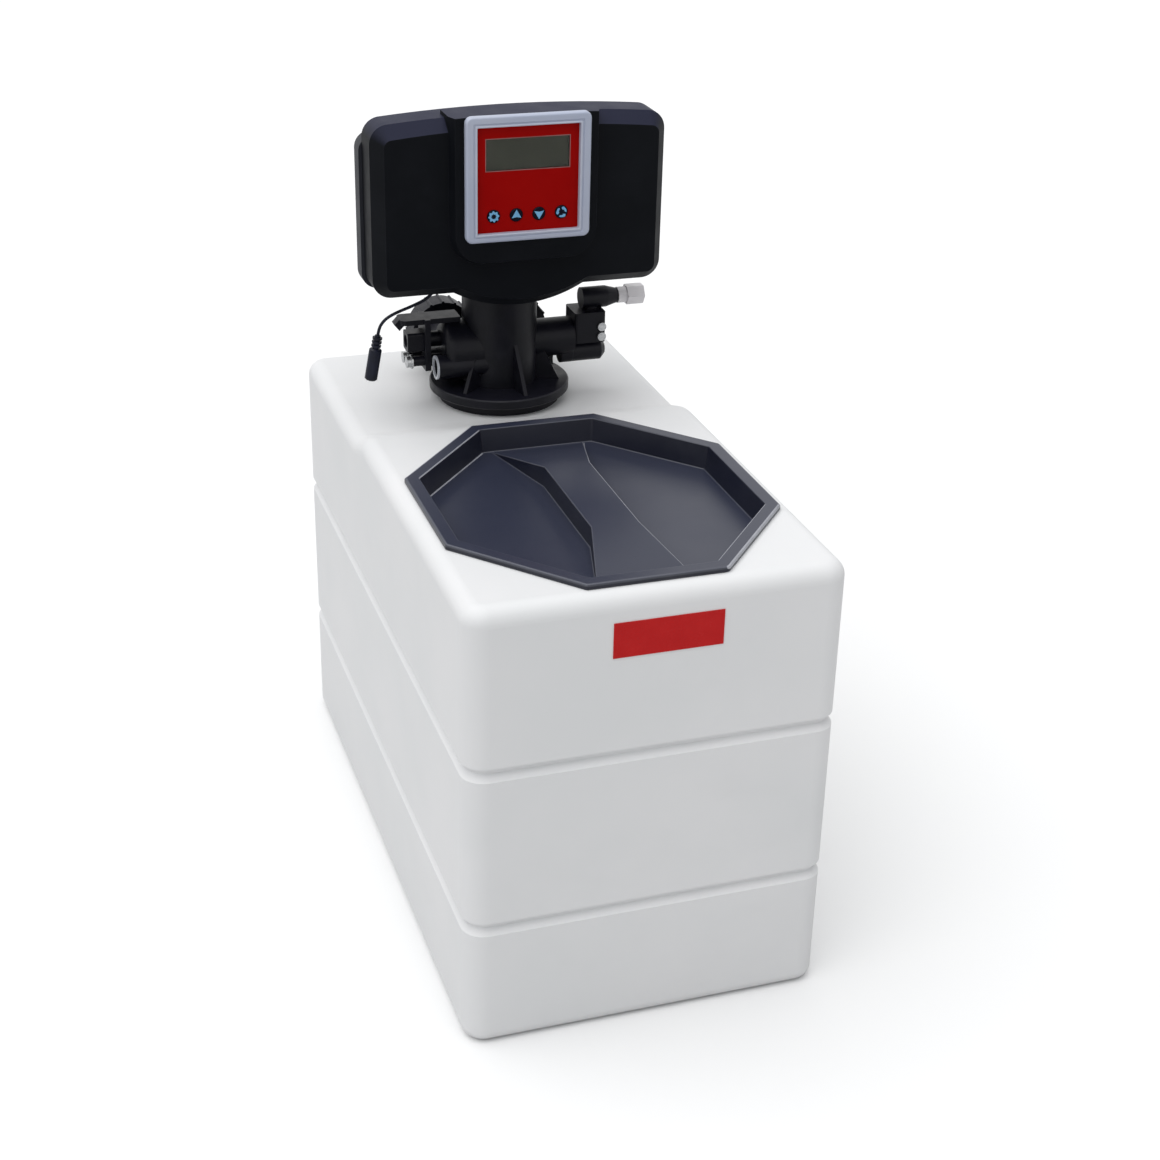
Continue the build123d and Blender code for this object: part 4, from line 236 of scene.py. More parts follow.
def addLamps():
    for name, values in studioValues["lamps"].items():
        bpy.ops.object.light_add(type="SUN", location=(0, 0, studioValues["lampHeight"]),
                                 rotation=[math.radians(a) for a in values["turn"]])
        lamp = bpy.context.object
        lamp.name = name
        lamp.data.energy = values["strength"]
        lamp.data.angle = math.radians(values["softness"])


def addFloor():
    # seen white, but throws less light back on the cabinet
    bpy.ops.mesh.primitive_plane_add(size=studioValues["floorSize"], location=(0, 0, studioValues["floorLevel"]))
    floor = bpy.context.object
    floor.name = "studioFloor"
    finish = bpy.data.materials.new("studioFloorWhite")
    finish.use_nodes = True
    tree = finish.node_tree
    shader = tree.nodes["Principled BSDF"]
    rays = tree.nodes.new("ShaderNodeLightPath").outputs
    tone = addMix(tree, rays["Is Camera Ray"], (studioValues["bounce"],) * 3, (studioValues["floor"],) * 3)
    tree.links.new(tone, shader.inputs["Base Color"])
    shader.inputs["Roughness"].default_value = 1.0
    shader.inputs["Specular IOR Level"].default_value = 0.0
    floor.data.materials.append(finish)


addWorld()
addLamps()
addFloor()
bpy.context.scene.view_settings.view_transform = "Standard"
print("studio set")

# what the moulded plastics share: ranges of the noises, their scales beside the mottle's, and
# the values of a finish that doesn't give its own
plasticValues = {
    "mottleDetail": 4.0, "mottleSeen": (0.35, 0.65),
    "smearScale": 2.3, "smearDetail": 5.0, "smearSeen": (0.3, 0.7),
    "scuffDetail": 6.0, "scuffSeen": (0.48, 0.7), "scuffStretch": (1.0, 7.0, 3.0),
    "patchScale": 1 / 6, "patchDetail": 2.0, "patchSeen": (0.42, 0.62),
    "topSheenSeen": (0.25, 0.85), "wearShineScale": 60.0, "wearShineSeen": (0.3, 0.6), "wearShineLeast": 0.7,
    "waveScale": 1.6, "waveStrength": 0.25, "wave": 0.0002, "fineDetail": 2.0, "shine": 0.5}


def mouldedFinish(name, values):
    # mottled colour, smears in the gloss, scuffs, a painted sheen on what faces up, paler edges that are partly wear
    # and partly a painted highlight, a slight wave and a moulded grain
    finish, tree, shader, spot = startFinish(name)
    shared = plasticValues
    mottle = addNoise(tree, spot, values["mottle"], shared["mottleDetail"])
    colour = addMix(tree, addRange(tree, mottle, shared["mottleSeen"]), values["colour"], values["second"])
    smear = addNoise(tree, spot, values["mottle"] * shared["smearScale"], shared["smearDetail"])
    gloss = addRange(tree, smear, shared["smearSeen"], values["gloss"])
    if "scuff" in values:
        stretch = values.get("scuffStretch", shared["scuffStretch"])
        streak = addNoise(tree, spot, values["scuffScale"], shared["scuffDetail"], stretch)
        patch = addNoise(tree, spot, values["scuffScale"] * shared["patchScale"], shared["patchDetail"])
        scuffed = addMath(tree, "MULTIPLY", addRange(tree, streak, shared["scuffSeen"]),
                          addRange(tree, patch, shared["patchSeen"], (0.0, values["scuff"])))
        colour = addMix(tree, scuffed, colour, values["worn"])
    # faces that point up get a lighter, bluer colour: a painted sheen of the light from above
    if "top" in values:
        turned = tree.nodes.new("ShaderNodeSeparateXYZ")
        tree.links.new(tree.nodes["Texture Coordinate"].outputs["Normal"], turned.inputs[0])
        colour = addMix(tree, addRange(tree, turned.outputs["Z"], shared["topSheenSeen"]), colour, values["top"])
    # bevelled edges get a paler colour: partly wear, partly a painted highlight
    if "edge" in values:
        edge = tree.nodes.new("ShaderNodeAttribute")
        edge.attribute_name = "wearAndHighlight"
        wearAndShine = addRange(tree, addNoise(tree, spot, shared["wearShineScale"]), shared["wearShineSeen"],
                       (values["edge"] * shared["wearShineLeast"], values["edge"]))
        colour = addMix(tree, addMath(tree, "MULTIPLY", edge.outputs["Fac"], wearAndShine), colour, values["worn"])
    tree.links.new(colour, shader.inputs["Base Color"])
    tree.links.new(gloss, shader.inputs["Roughness"])
    shader.inputs["Specular IOR Level"].default_value = values.get("shine", shared["shine"])
    wave = addNoise(tree, spot, values["mottle"] * shared["waveScale"], shared["fineDetail"])
    wavy = addBump(tree, shader, wave, shared["waveStrength"], values.get("wave", shared["wave"]))
    grain = addNoise(tree, spot, values["grain"], shared["fineDetail"])
    addBump(tree, shader, grain, values["grainStrength"], values["grainDepth"], wavy)
    return finish


# what the metals share: fine scratches one way and dull spots
metalShared = {"streakDetail": 4.0, "streakSeen": (0.3, 0.7), "spotScale": 500.0, "spotDetail": 4.0,
               "spotSeen": (0.42, 0.66), "scratch": 0.3, "scratchDepth": 0.00006}


def metalFinish(name, values):
    finish, tree, shader, spot = startFinish(name)
    shared = metalShared
    streak = addNoise(tree, spot, values["streak"], shared["streakDetail"], values["along"])
    spots = addRange(tree, addNoise(tree, spot, shared["spotScale"], shared["spotDetail"]), shared["spotSeen"])
    tree.links.new(addMix(tree, spots, values["colour"], values["second"]), shader.inputs["Base Color"])
    tree.links.new(addRange(tree, streak, shared["streakSeen"], values["gloss"]), shader.inputs["Roughness"])
    shader.inputs["Metallic"].default_value = 1.0
    addBump(tree, shader, streak, shared["scratch"], shared["scratchDepth"])
    return finish


glassValues = {"colour": (0.72, 0.74, 0.70), "second": (0.66, 0.68, 0.64), "mottle": 40.0, "mottleSeen": (0.35, 0.65),
               "dust": 300.0, "dustDetail": 6.0, "dustSeen": (0.5, 0.75), "gloss": (0.03, 0.16), "bending": 1.25}


def glassFinish(name, values):
    # clear window with a faint smoky tint and fine dust
    finish, tree, shader, spot = startFinish(name)
    dust = addNoise(tree, spot, values["dust"], values["dustDetail"])
    tint = addRange(tree, addNoise(tree, spot, values["mottle"]), values["mottleSeen"])
    tree.links.new(addMix(tree, tint, values["colour"], values["second"]), shader.inputs["Base Color"])
    tree.links.new(addRange(tree, dust, values["dustSeen"], values["gloss"]), shader.inputs["Roughness"])
    shader.inputs["Transmission Weight"].default_value = 1.0
    shader.inputs["IOR"].default_value = values["bending"]
    return finish


evenly = (1.0, 1.0, 1.0)  # scuffs with no direction
mouldedValues = {
    "cabinet_white": {
        "colour": paint(230, 231, 232), "second": paint(234, 234, 235), "mottle": 9.0, "gloss": (0.36, 0.46),
        "worn": paint(214, 214, 215), "scuff": 0.1, "scuffScale": 16.0, "scuffStretch": (1.0, 1.0, 1.6),
        "grain": 520.0, "grainStrength": 0.16, "grainDepth": 0.00016, "wave": 0.0009, "shine": 0.3},
    "lid_grey": {
        "colour": paint(14, 17, 33), "second": paint(16, 19, 36), "mottle": 12.0, "gloss": (0.32, 0.37),
        # the lid's lighter up-facing tone is a painted sheen; its paler edges are partly wear and partly a painted
        # highlight
        "top": paint(43, 47, 64), "edge": 0.85,
        "worn": paint(176, 178, 186), "scuff": 0.03, "scuffScale": 34.0, "scuffStretch": (2.0, 1.0, 1.0),
        "grain": 1900.0, "grainStrength": 0.28, "grainDepth": 0.00007, "wave": 0.00015, "shine": 0.45},
    "label_red": {
        "colour": paint(190, 24, 26), "second": paint(196, 29, 30), "mottle": 60.0, "gloss": (0.22, 0.3),
        "grain": 900.0, "grainStrength": 0.08, "grainDepth": 0.00004, "shine": 0.14},
    "head_black": {
        "colour": paint(14, 16, 20), "second": paint(17, 19, 23), "mottle": 24.0, "gloss": (0.42, 0.5),
        # the head's lighter up-facing tone is a painted sheen, and its paler edges are a painted highlight
        "top": paint(40, 42, 60), "edge": 0.42,
        "worn": paint(78, 80, 90), "scuff": 0.03, "scuffScale": 40.0, "scuffStretch": evenly,
        "grain": 1900.0, "grainStrength": 0.3, "grainDepth": 0.00007, "shine": 0.06},
    "valve_black": {
        "colour": paint(13, 14, 20), "second": paint(18, 18, 26), "mottle": 60.0, "gloss": (0.34, 0.46),
        # the lighter up-facing tone is a painted sheen; the paler edges are partly wear and partly a painted
        # highlight
        "top": paint(24, 24, 33), "edge": 0.28,
        "worn": paint(84, 86, 96), "scuff": 0.05, "scuffScale": 90.0, "scuffStretch": evenly,
        "grain": 1400.0, "grainStrength": 0.3, "grainDepth": 0.0001, "shine": 0.2},
    "bezel_silver": {
        "colour": paint(176, 184, 204), "second": paint(182, 188, 206), "mottle": 30.0, "gloss": (0.3, 0.38),
        # the paler lip colour is a painted highlight
        "edge": 0.5, "worn": paint(206, 210, 222),
        "grain": 3200.0, "grainStrength": 0.14, "grainDepth": 0.00003, "shine": 0.4},
    "overlay_red": {
        "colour": paint(156, 2, 1), "second": paint(160, 4, 2), "mottle": 45.0, "gloss": (0.42, 0.5),
        "grain": 3600.0, "grainStrength": 0.2, "grainDepth": 0.00002, "shine": 0.05},
    "lcd_grey": {
        "colour": paint(86, 86, 79), "second": paint(92, 92, 85), "mottle": 25.0, "gloss": (0.5, 0.6),
        "grain": 2600.0, "grainStrength": 0.1, "grainDepth": 0.00002, "shine": 0.04},
    "board_green": {
        "colour": paint(16, 82, 48), "second": paint(24, 98, 58), "mottle": 300.0, "gloss": (0.25, 0.4),
        "grain": 1200.0, "grainStrength": 0.3, "grainDepth": 0.00005},
    "key_navy": {
        "colour": paint(5, 10, 26), "second": paint(8, 13, 32), "mottle": 200.0, "gloss": (0.22, 0.3),
        "grain": 2600.0, "grainStrength": 0.1, "grainDepth": 0.00002, "shine": 0.08},
    "fitting_white": {
        "colour": paint(240, 237, 239), "second": paint(234, 231, 234), "mottle": 80.0, "gloss": (0.35, 0.5),
        "worn": paint(180, 178, 178), "scuff": 0.15, "scuffScale": 120.0,
        "grain": 1500.0, "grainStrength": 0.2, "grainDepth": 0.00005, "shine": 0.4},
    "ring_pale": {
        "colour": paint(178, 181, 190), "second": paint(190, 193, 200), "mottle": 90.0, "gloss": (0.3, 0.42),
        "grain": 1800.0, "grainStrength": 0.15, "grainDepth": 0.00004},
    "gear_natural": {
        "colour": paint(224, 220, 206), "second": paint(216, 211, 196), "mottle": 70.0, "gloss": (0.35, 0.5),
        "worn": paint(150, 146, 136), "scuff": 0.2, "scuffScale": 100.0,
        "grain": 1500.0, "grainStrength": 0.2, "grainDepth": 0.00006, "shine": 0.4},
    "vessel_blue": {
        "colour": paint(96, 132, 168), "second": paint(78, 116, 156), "mottle": 16.0, "gloss": (0.2, 0.35),
        "worn": paint(150, 178, 204), "scuff": 0.55, "scuffScale": 90.0, "scuffStretch": (1.0, 1.0, 14.0),
        "grain": 260.0, "grainStrength": 0.4, "grainDepth": 0.0003},
    "boot_black": {
        "colour": paint(26, 26, 28), "second": paint(34, 34, 36), "mottle": 40.0, "gloss": (0.45, 0.6),
        "worn": paint(80, 80, 82), "scuff": 0.25, "scuffScale": 70.0,
        "grain": 900.0, "grainStrength": 0.35, "grainDepth": 0.00012, "shine": 0.3},
    "pipe_white": {
        "colour": paint(226, 227, 228), "second": paint(216, 218, 220), "mottle": 30.0, "gloss": (0.25, 0.4),
        "worn": paint(170, 172, 176), "scuff": 0.2, "scuffScale": 70.0, "scuffStretch": (1.0, 1.0, 0.2),
        "grain": 700.0, "grainStrength": 0.12, "grainDepth": 0.0001, "shine": 0.4},
    "seal_rubber": {
        "colour": paint(22, 22, 23), "second": paint(30, 30, 31), "mottle": 120.0, "gloss": (0.55, 0.75),
        "worn": paint(90, 90, 90), "scuff": 0.15, "scuffScale": 150.0,
        "grain": 1600.0, "grainStrength": 0.35, "grainDepth": 0.00008, "shine": 0.3},
    "lead_black": {
        "colour": paint(13, 16, 28), "second": paint(20, 24, 42), "mottle": 110.0, "gloss": (0.36, 0.5),
        # paler edges: partly wear, partly a painted highlight
        "edge": 0.2, "worn": paint(80, 84, 100), "scuff": 0.05, "scuffScale": 120.0, "scuffStretch": evenly,
        "grain": 1800.0, "grainStrength": 0.25, "grainDepth": 0.00005, "shine": 0.25},
}
metalValues = {
    "screw_steel": {"colour": paint(196, 197, 198), "second": paint(170, 172, 174), "streak": 900.0,
                    "along": (1.0, 1.0, 6.0), "gloss": (0.22, 0.42)},
    "motor_steel": {"colour": paint(176, 176, 174), "second": paint(150, 150, 148), "streak": 500.0,
                    "along": (1.0, 12.0, 1.0), "gloss": (0.3, 0.5)},
}
# the frame behind the front cover is a greyer, duller moulding
frameValues = {
    "colour": paint(40, 42, 48), "second": paint(46, 48, 54), "mottle": 24.0, "gloss": (0.42, 0.52),
    # paler edges: partly wear, partly a painted highlight
    "edge": 0.25, "worn": paint(96, 98, 106), "scuff": 0.04, "scuffScale": 40.0, "scuffStretch": evenly,
    "grain": 1900.0, "grainStrength": 0.3, "grainDepth": 0.00007, "shine": 0.15}


def finishName(slot):
    first, *rest = slot.split("_")
    return first + "".join(word.capitalize() for word in rest)


finishes = {slot: mouldedFinish(finishName(slot), values) for slot, values in mouldedValues.items()}
for slot, values in metalValues.items():
    finishes[slot] = metalFinish(finishName(slot), values)
finishes["display_glass"] = glassFinish("displayGlass", glassValues)
frameFinish = mouldedFinish("headFrameGrey", frameValues)
slotOf = {part["node"]: part["material_slot"] for part in frame["record"]["subparts"]}
bodyOf = {node: body for body, members in frame["record"]["behaviour"]["bodies"].items() for node in members}
for node, solid in frame["nodes"].items():
    solid.data.materials.clear()
    solid.data.materials.append(finishes[slotOf[node]])
print("finishes made")

place(powerLead, finishes["lead_black"], replaced=["power_lead"])

# copies of the solids with moulded edges, paler on the bevels for slight wear and a painted highlight; angles in
# degrees
copyValues = {"flat": 0.5, "sharp": 40, "smooth": 32, "steps": 2, "rest": 1.0}


def wearAndHighlightOf(face, zones, rest):
    # how pale an edge face is painted, for wear and a painted highlight: 1 inside one of the zones, the rest of the
    # edges less
    if face.material_index == 0:
        return 0.0
    for low, high in zones:
        if all(a <= c <= b for a, c, b in zip(low, face.center, high)):
            return 1.0
    return rest


def softenedCopy(node, values):
    mesh = frame["nodes"][node].data.copy()
    name = values["name"]
    finish = values.get("finish", finishes[slotOf[node]])
    mesh.name = name
    mesh.materials.clear()
    mesh.materials.append(finish)
    mesh.materials.append(finish)  # the second one marks the bevelled edges until the wear and painted highlight are set
    piece = bpy.data.objects.new(name, mesh)
    bpy.context.scene.collection.objects.link(piece)
    pick(piece)
    bpy.ops.mesh.customdata_custom_splitnormals_clear()
    openMesh()
    bpy.ops.mesh.remove_doubles(threshold=mergeWithin)
    bpy.ops.mesh.dissolve_limited(angle_limit=math.radians(copyValues["flat"]))
    bpy.ops.object.mode_set(mode="OBJECT")
    bpy.ops.object.modifier_add(type="BEVEL")
    rounding = piece.modifiers[-1]
    rounding.width = values["edge"]
    rounding.segments = values.get("steps", copyValues["steps"])
    rounding.limit_method = "ANGLE"
    rounding.angle_limit = math.radians(copyValues["sharp"])
    rounding.material = 1
    rounding.use_clamp_overlap = True
    applyLast(piece)
    wearAndHighlight = piece.data.attributes.new("wearAndHighlight", "FLOAT", "FACE")
    zones = values.get("zones", ())
    rest = values.get("rest", copyValues["rest"])
    wearAndHighlight.data.foreach_set("value", [wearAndHighlightOf(face, zones, rest) for face in piece.data.polygons])
    piece.data.polygons.foreach_set("material_index", [0] * len(piece.data.polygons))
    smoothBelow(piece, copyValues["smooth"])
    place(piece, finish, bodyOf[node], [node])
    print("softened", name, len(piece.data.polygons), "faces")


# boxes where the lid's edges are painted pale: wear with a painted highlight
lidLow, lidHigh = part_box("lid")
rimTop = lidHigh[2]
lidWearAndHighlights = {
    "gripEdge": ((0.012, lidLow[1] + 0.02, rimTop - 0.02), (0.04, lidHigh[1] - 0.03, rimTop + 0.001)),
    "rearLeftWall": ((lidLow[0] + 0.005, -0.06, rimTop - 0.025), (-0.05, lidHigh[1] - 0.002, rimTop + 0.001)),
    "rightCorner": ((lidHigh[0] - 0.072, lidLow[1] - 0.001, rimTop - 0.005),
                    (lidHigh[0] + 0.001, -0.158, rimTop + 0.001)),
}
softened = {
    "lid": {"name": "saltLidMoulded", "edge": 0.0007, "steps": 3, "zones": lidWearAndHighlights.values(), "rest": 0.1},
    "valve_body": {"name": "valveBodyMoulded", "edge": 0.0004},
    "front_cover": {"name": "headCoverMoulded", "edge": 0.0004},
    "gear_frame": {"name": "gearFrameMoulded", "edge": 0.0004, "finish": frameFinish},
    "rear_cover": {"name": "rearCoverMoulded", "edge": 0.0004},
    "name_plate": {"name": "frontPlateFilm", "edge": 0.00015},
    "drain_yoke": {"name": "drainYokeMoulded", "edge": 0.0004},
    "drain_connector": {"name": "drainBlockMoulded", "edge": 0.0004},
    "injector_body": {"name": "injectorHousingMoulded", "edge": 0.0004},
    "injector_cap": {"name": "injectorCapMoulded", "edge": 0.0004},
    "brine_elbow": {"name": "brineElbowMoulded", "edge": 0.0003},
    "brine_nut": {"name": "brineNutMoulded", "edge": 0.0003},
    "union_nuts": {"name": "unionNutsMoulded", "edge": 0.0003},
}
for node, values in softened.items():
    softenedCopy(node, values)


def startPanel(name, low, high, level):
    # an upright plane that faces the front, as wide and high as the box
    deselectAll()
    bpy.ops.mesh.primitive_plane_add(size=1.0, rotation=(math.radians(90), 0, 0))
    piece = bpy.context.object
    piece.name = name
    piece.scale = (high[0] - low[0], high[2] - low[2], 1.0)
    piece.location = ((high[0] + low[0]) / 2, level, (high[2] + low[2]) / 2)
    settle(piece)
    return piece


# bezel: a rounded frame with a groove and a raised lip round the red overlay
bezelValues = {
    "corner": 0.005, "cornerSteps": 7, "bevel": 0.0016, "startInset": 0.00001, "lipCorner": 0.0007,
    "rounding": ((0.25, 0.6), (0.35, 0.3), (0.4, 0.1)),  # shares of the bevel, inwards and forwards
    # rings from the front face to the overlay: how far outside the overlay, and how deep
    "rings": ((0.0031, 0.0), (0.0027, 0.0006), (0.002, 0.0006), (0.0016, -0.0001), (0.0008, -0.0003),
              (0.0003, 0.0), (0.0, 0.0008)),
    # how far out and how deep the lip's painted highlight reaches
    "highlightReach": 0.0018, "highlightDepth": 0.0001, "smooth": 35}


def roundedOutline(low, high, grow, corner):
    return {"wide": (high[0] - low[0]) / 2 + grow, "high": (high[2] - low[2]) / 2 + grow,
            "middle": (high[2] + low[2]) / 2, "corner": corner}


def moveRing(piece, was, now, level):
    # the selected points go from one rounded outline to the same places on another
    shape = bmesh.from_edit_mesh(piece.data)
    for point in shape.verts:
        if not point.select:
            continue
        right = math.copysign(1, point.co.x)
        up = math.copysign(1, point.co.z - was["middle"])
        turn = math.atan2(point.co.z - was["middle"] - up * (was["high"] - was["corner"]),
                          point.co.x - right * (was["wide"] - was["corner"]))
        point.co.x = right * (now["wide"] - now["corner"]) + math.cos(turn) * now["corner"]
        point.co.z = now["middle"] + up * (now["high"] - now["corner"]) + math.sin(turn) * now["corner"]
        point.co.y = level
    bmesh.update_edit_mesh(piece.data)


def selectFaces(piece, wanted):
    bpy.ops.mesh.select_all(action="DESELECT")
    shape = bmesh.from_edit_mesh(piece.data)
    for face in shape.faces:
        if wanted(face):
            face.select_set(True)
    bmesh.update_edit_mesh(piece.data)


def selectOpenEdges(piece):
    bpy.ops.mesh.select_all(action="DESELECT")
    shape = bmesh.from_edit_mesh(piece.data)
    for edge in shape.edges:
        if edge.is_boundary:
            edge.select_set(True)
    bmesh.update_edit_mesh(piece.data)


def addBezel():
    low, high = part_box("bezel")
    inLow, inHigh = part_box("keypad_overlay")
    front, back, bevel = low[1], high[1], bezelValues["bevel"]
    piece = startPanel("bezelFrame", low, high, back)
    openMesh()
    bpy.ops.mesh.bevel(affect="VERTICES", offset=bezelValues["corner"], segments=bezelValues["cornerSteps"])
    bpy.ops.mesh.select_all(action="SELECT")
    bpy.ops.mesh.extrude_region_move(TRANSFORM_OT_translate={"value": (0, front + bevel - back, 0)})
    for inwards, forwards in bezelValues["rounding"]:
        bpy.ops.mesh.inset(thickness=bevel * inwards)
        bpy.ops.transform.translate(value=(0, -bevel * forwards, 0))
    was = roundedOutline(low, high, -bevel, bezelValues["corner"] - bevel)
    for reach, sink in (*bezelValues["rings"], (0.0, back - front)):
        now = roundedOutline(inLow, inHigh, reach, bezelValues["lipCorner"])
        bpy.ops.mesh.inset(thickness=bezelValues["startInset"])
        moveRing(piece, was, now, front + sink)
        was = now
    bpy.ops.mesh.delete(type="FACE")
    selectFaces(piece, lambda face: all(point.co.y > back - mergeWithin for point in face.verts))
    bpy.ops.mesh.delete(type="FACE")  # the extrude left a face over the whole back
    selectOpenEdges(piece)
    bpy.ops.mesh.bridge_edge_loops()
    closeMesh()
    # the lip's front faces get a painted highlight
    wearAndHighlight = piece.data.attributes.new("wearAndHighlight", "FLOAT", "FACE")
    lip = roundedOutline(inLow, inHigh, bezelValues["highlightReach"], bezelValues["lipCorner"])
    wearAndHighlight.data.foreach_set("value", [
        float(face.center.y < front + bezelValues["highlightDepth"] and abs(face.center.x) < lip["wide"]
              and abs(face.center.z - lip["middle"]) < lip["high"])
        for face in piece.data.polygons])
    smoothBelow(piece, bezelValues["smooth"])
    place(piece, finishes["bezel_silver"], bodyOf["bezel"], ["bezel"])


addBezel()
print("bezel framed")

# the window's pale border on the red overlay
borderValues = {
    "width": 0.0006, "proud": 0.00012, "under": 0.0001,
    "finish": {"colour": paint(158, 108, 106), "second": paint(148, 90, 88), "mottle": 120.0, "gloss": (0.35, 0.45),
               "grain": 2600.0, "grainStrength": 0.1, "grainDepth": 0.00002, "shine": 0.2}}


def addWindowBorder():
    low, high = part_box("display_window")
    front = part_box("keypad_overlay")[0][1]
    grow = borderValues["width"]
    piece = startPanel("windowBorder", (low[0] - grow, 0, low[2] - grow), (high[0] + grow, 0, high[2] + grow),
                       front + borderValues["under"])
    openMesh()
    bpy.ops.mesh.inset(thickness=grow)
    bpy.ops.mesh.delete(type="FACE")
    bpy.ops.mesh.select_all(action="SELECT")
    forward = -borderValues["under"] - borderValues["proud"]
    bpy.ops.mesh.extrude_region_move(TRANSFORM_OT_translate={"value": (0, forward, 0)})
    closeMesh()
    place(piece, mouldedFinish("windowBorderPink", borderValues["finish"]))


addWindowBorder()
print("window bordered")

# tail pieces with their pipe threads, turned from one outline each
tailValues = {
    "bore": 0.0095, "neck": 0.0126, "neckStart": 0.193, "neckSlope": 0.0003,
    "crest": 0.0132, "root": 0.0122, "pitch": 0.0018, "crestShares": (0.42, 0.58), "threadStart": 0.202,
    "plainEnd": 0.001, "chamfer": (0.0003, 0.0002), "turns": 64, "smooth": 28}


def tailOutline(low, high, collar):
    # half of the section: distance from the axis and place along it
    neck, root, pitch = tailValues["neck"], tailValues["root"], tailValues["pitch"]
    outline = [(tailValues["bore"], low), (collar, low), (collar, tailValues["neckStart"]),
               (neck, tailValues["neckStart"] + tailValues["neckSlope"]), (neck, tailValues["threadStart"])]
    along = tailValues["threadStart"]
    while along + pitch < high - tailValues["plainEnd"]:
        outline.append((root, along))
        outline += [(tailValues["crest"], along + pitch * share) for share in tailValues["crestShares"]]
        along += pitch
    inwards, back = tailValues["chamfer"]
    outline += [(root, along), (root, high - back), (root - inwards, high), (tailValues["bore"], high)]
    return outline


def addTailpieces():
    low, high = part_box("tailpieces")
    collar = (high[2] - low[2]) / 2
    middle = (high[2] + low[2]) / 2
    outline = tailOutline(low[1], high[1], collar)
    tails = []
    for side in (-1, 1):
        across = side * (high[0] - collar)
        deselectAll()
        bpy.ops.mesh.primitive_circle_add(vertices=len(outline), radius=collar)
        tail = bpy.context.object
        for point, (out, along) in zip(tail.data.vertices, outline):
            point.co = (across + out, along, middle)
        pick(tail)
        openMesh()
        bpy.ops.mesh.spin(steps=tailValues["turns"], angle=math.radians(360),
                          center=(across, 0, middle), axis=(0, 1, 0))
        bpy.ops.mesh.select_all(action="SELECT")
        bpy.ops.mesh.remove_doubles(threshold=mergeWithin)
        closeMesh()
        tails.append(tail)
    deselectAll()
    for tail in tails:
        tail.select_set(True)
    bpy.context.view_layer.objects.active = tails[0]
    bpy.ops.object.join()
    tail = bpy.context.object
    tail.name = "threadedTails"
    settle(tail)
    bpy.ops.object.shade_smooth_by_angle(angle=math.radians(tailValues["smooth"]))
    place(tail, finishes[slotOf["tailpieces"]], bodyOf["tailpieces"], ["tailpieces"])


addTailpieces()
print("tail threads cut")

# symbols on the four keys, each a thin printed film
keyValues = {
    "reach": 0.0041, "film": 0.00006, "proud": 0.00002,
    "gear": {"points": 32, "teethEvery": 4, "valleys": (2, 3), "valley": 0.8, "hole": 0.48},
    "arrow": {"stretch": 1.02, "notch": 0.16},
    # the renewing ring: gaps cut out after an angle of each third, then barbs as
    # first angle, last angle, share outside and share inside
    "ring": {"points": 36, "reach": 0.95, "hole": 0.6, "third": 120, "gapFrom": 92, "outside": 0.75,
             "barbs": ((55, 78, 1.08, 0.8), (82, 95, 0.86, 1.2), (-1, 12, 0.96, 1.08))},
    "finish": {"colour": paint(112, 176, 222), "second": paint(124, 186, 228), "mottle": 400.0, "gloss": (0.3, 0.4),
               "grain": 3000.0, "grainStrength": 0.1, "grainDepth": 0.00002, "shine": 0.4}}
symbolFinish = mouldedFinish("keySymbolBlue", keyValues["finish"])


def startRing(points, radius, fill="NOTHING"):
    deselectAll()
    bpy.ops.mesh.primitive_circle_add(vertices=points, radius=radius, fill_type=fill)
    return bpy.context.object


def closeInwards(share):
    # a flat band from the ring in to a smaller one
    openMesh()
    bpy.ops.mesh.extrude_edges_move()
    bpy.ops.transform.resize(value=(share, share, 1.0), center_override=(0, 0, 0))


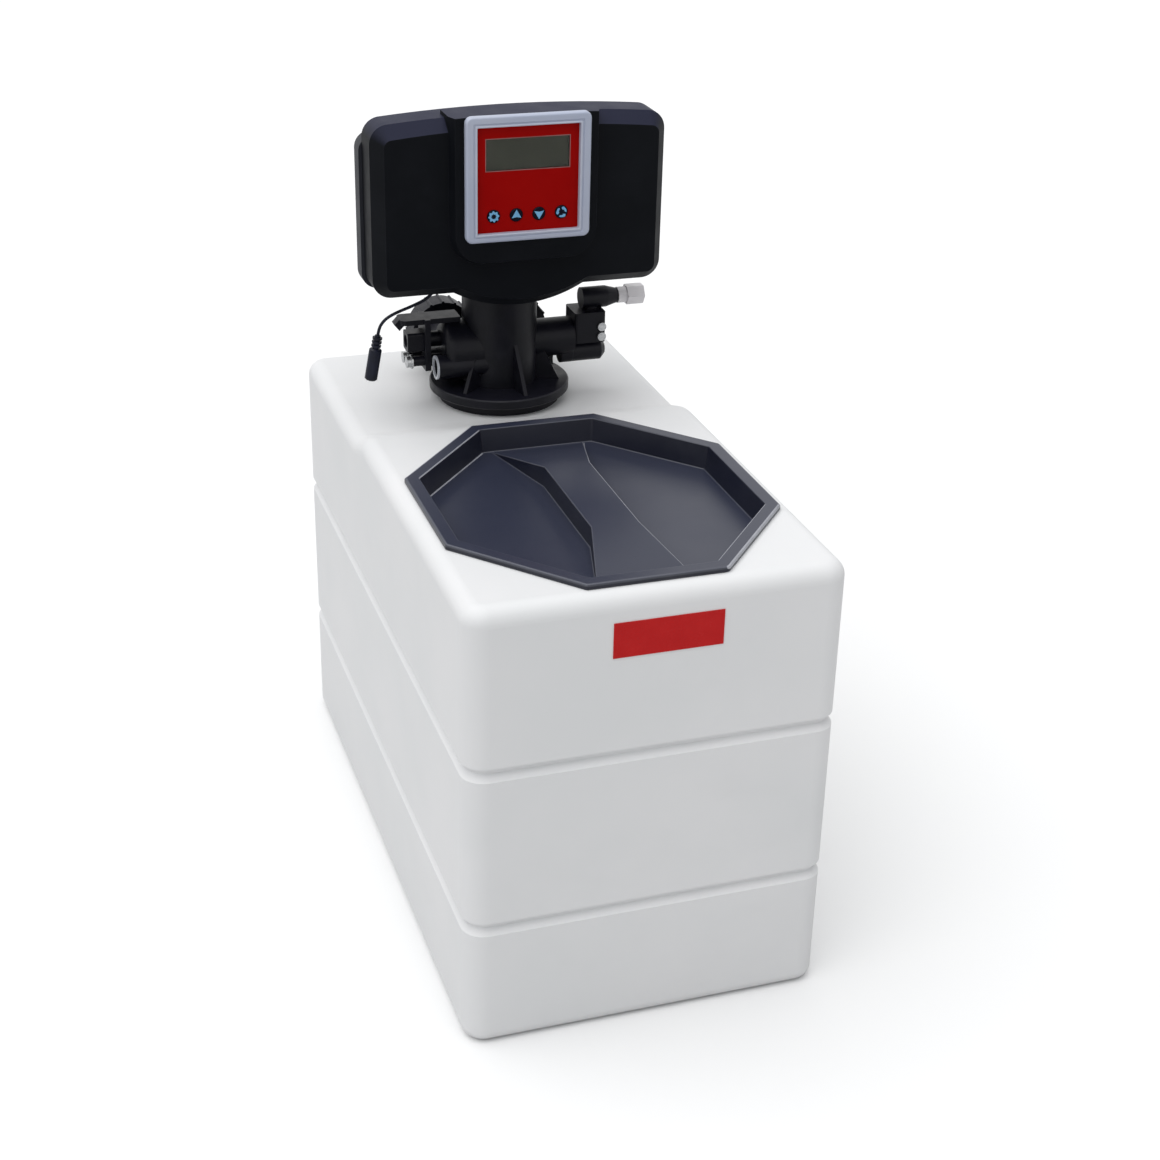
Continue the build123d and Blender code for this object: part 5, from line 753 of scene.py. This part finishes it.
def finishSymbol(piece, name, node):
    low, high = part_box(node)
    piece.name = name
    pick(piece)
    bpy.ops.object.modifier_add(type="SOLIDIFY")
    piece.modifiers[-1].thickness = keyValues["film"]
    piece.modifiers[-1].offset = 0.0
    applyLast(piece)
    openMesh()
    closeMesh()
    piece.rotation_euler = (math.radians(90), 0, 0)
    piece.location = ((low[0] + high[0]) / 2, low[1] - keyValues["proud"], (low[2] + high[2]) / 2)
    settle(piece)
    place(piece, symbolFinish, bodyOf[node])


def addGearSymbol():
    gear = keyValues["gear"]
    piece = startRing(gear["points"], keyValues["reach"])
    for point in piece.data.vertices:
        if point.index % gear["teethEvery"] in gear["valleys"]:
            point.co *= gear["valley"]
    closeInwards(gear["hole"])
    bpy.ops.object.mode_set(mode="OBJECT")
    return piece


def addArrowSymbol(down=False):
    arrow = keyValues["arrow"]
    piece = startRing(3, keyValues["reach"], "NGON")
    openMesh()
    bpy.ops.mesh.subdivide(number_cuts=1)
    bpy.ops.mesh.select_all(action="DESELECT")
    bpy.ops.object.mode_set(mode="OBJECT")
    for point in piece.data.vertices:
        point.co.x *= arrow["stretch"]
        if abs(point.co.x) < mergeWithin and point.co.y < 0:
            point.co.y += keyValues["reach"] * arrow["notch"]
        if down:
            point.co.x, point.co.y = -point.co.x, -point.co.y
    return piece


def addRenewSymbol():
    ring = keyValues["ring"]
    piece = startRing(ring["points"], keyValues["reach"] * ring["reach"])
    closeInwards(ring["hole"])
    shape = bmesh.from_edit_mesh(piece.data)
    for face in shape.faces:
        middle = face.calc_center_median()
        face.select_set(math.degrees(math.atan2(middle.y, middle.x)) % ring["third"] > ring["gapFrom"])
    bpy.ops.mesh.delete(type="FACE")
    shape = bmesh.from_edit_mesh(piece.data)
    for point in shape.verts:
        turn = math.degrees(math.atan2(point.co.y, point.co.x)) % ring["third"]
        isOutside = point.co.length > ring["outside"] * keyValues["reach"]
        for first, last, outer, inner in ring["barbs"]:
            if first < turn < last:
                point.co *= outer if isOutside else inner
                break
    bmesh.update_edit_mesh(piece.data)
    bpy.ops.object.mode_set(mode="OBJECT")
    return piece


finishSymbol(addGearSymbol(), "menuSymbol", "key_menu")
finishSymbol(addArrowSymbol(), "upSymbol", "key_up")
finishSymbol(addArrowSymbol(down=True), "downSymbol", "key_down")
finishSymbol(addRenewSymbol(), "renewSymbol", "key_regenerate")
print("key symbols printed")

deselectAll()
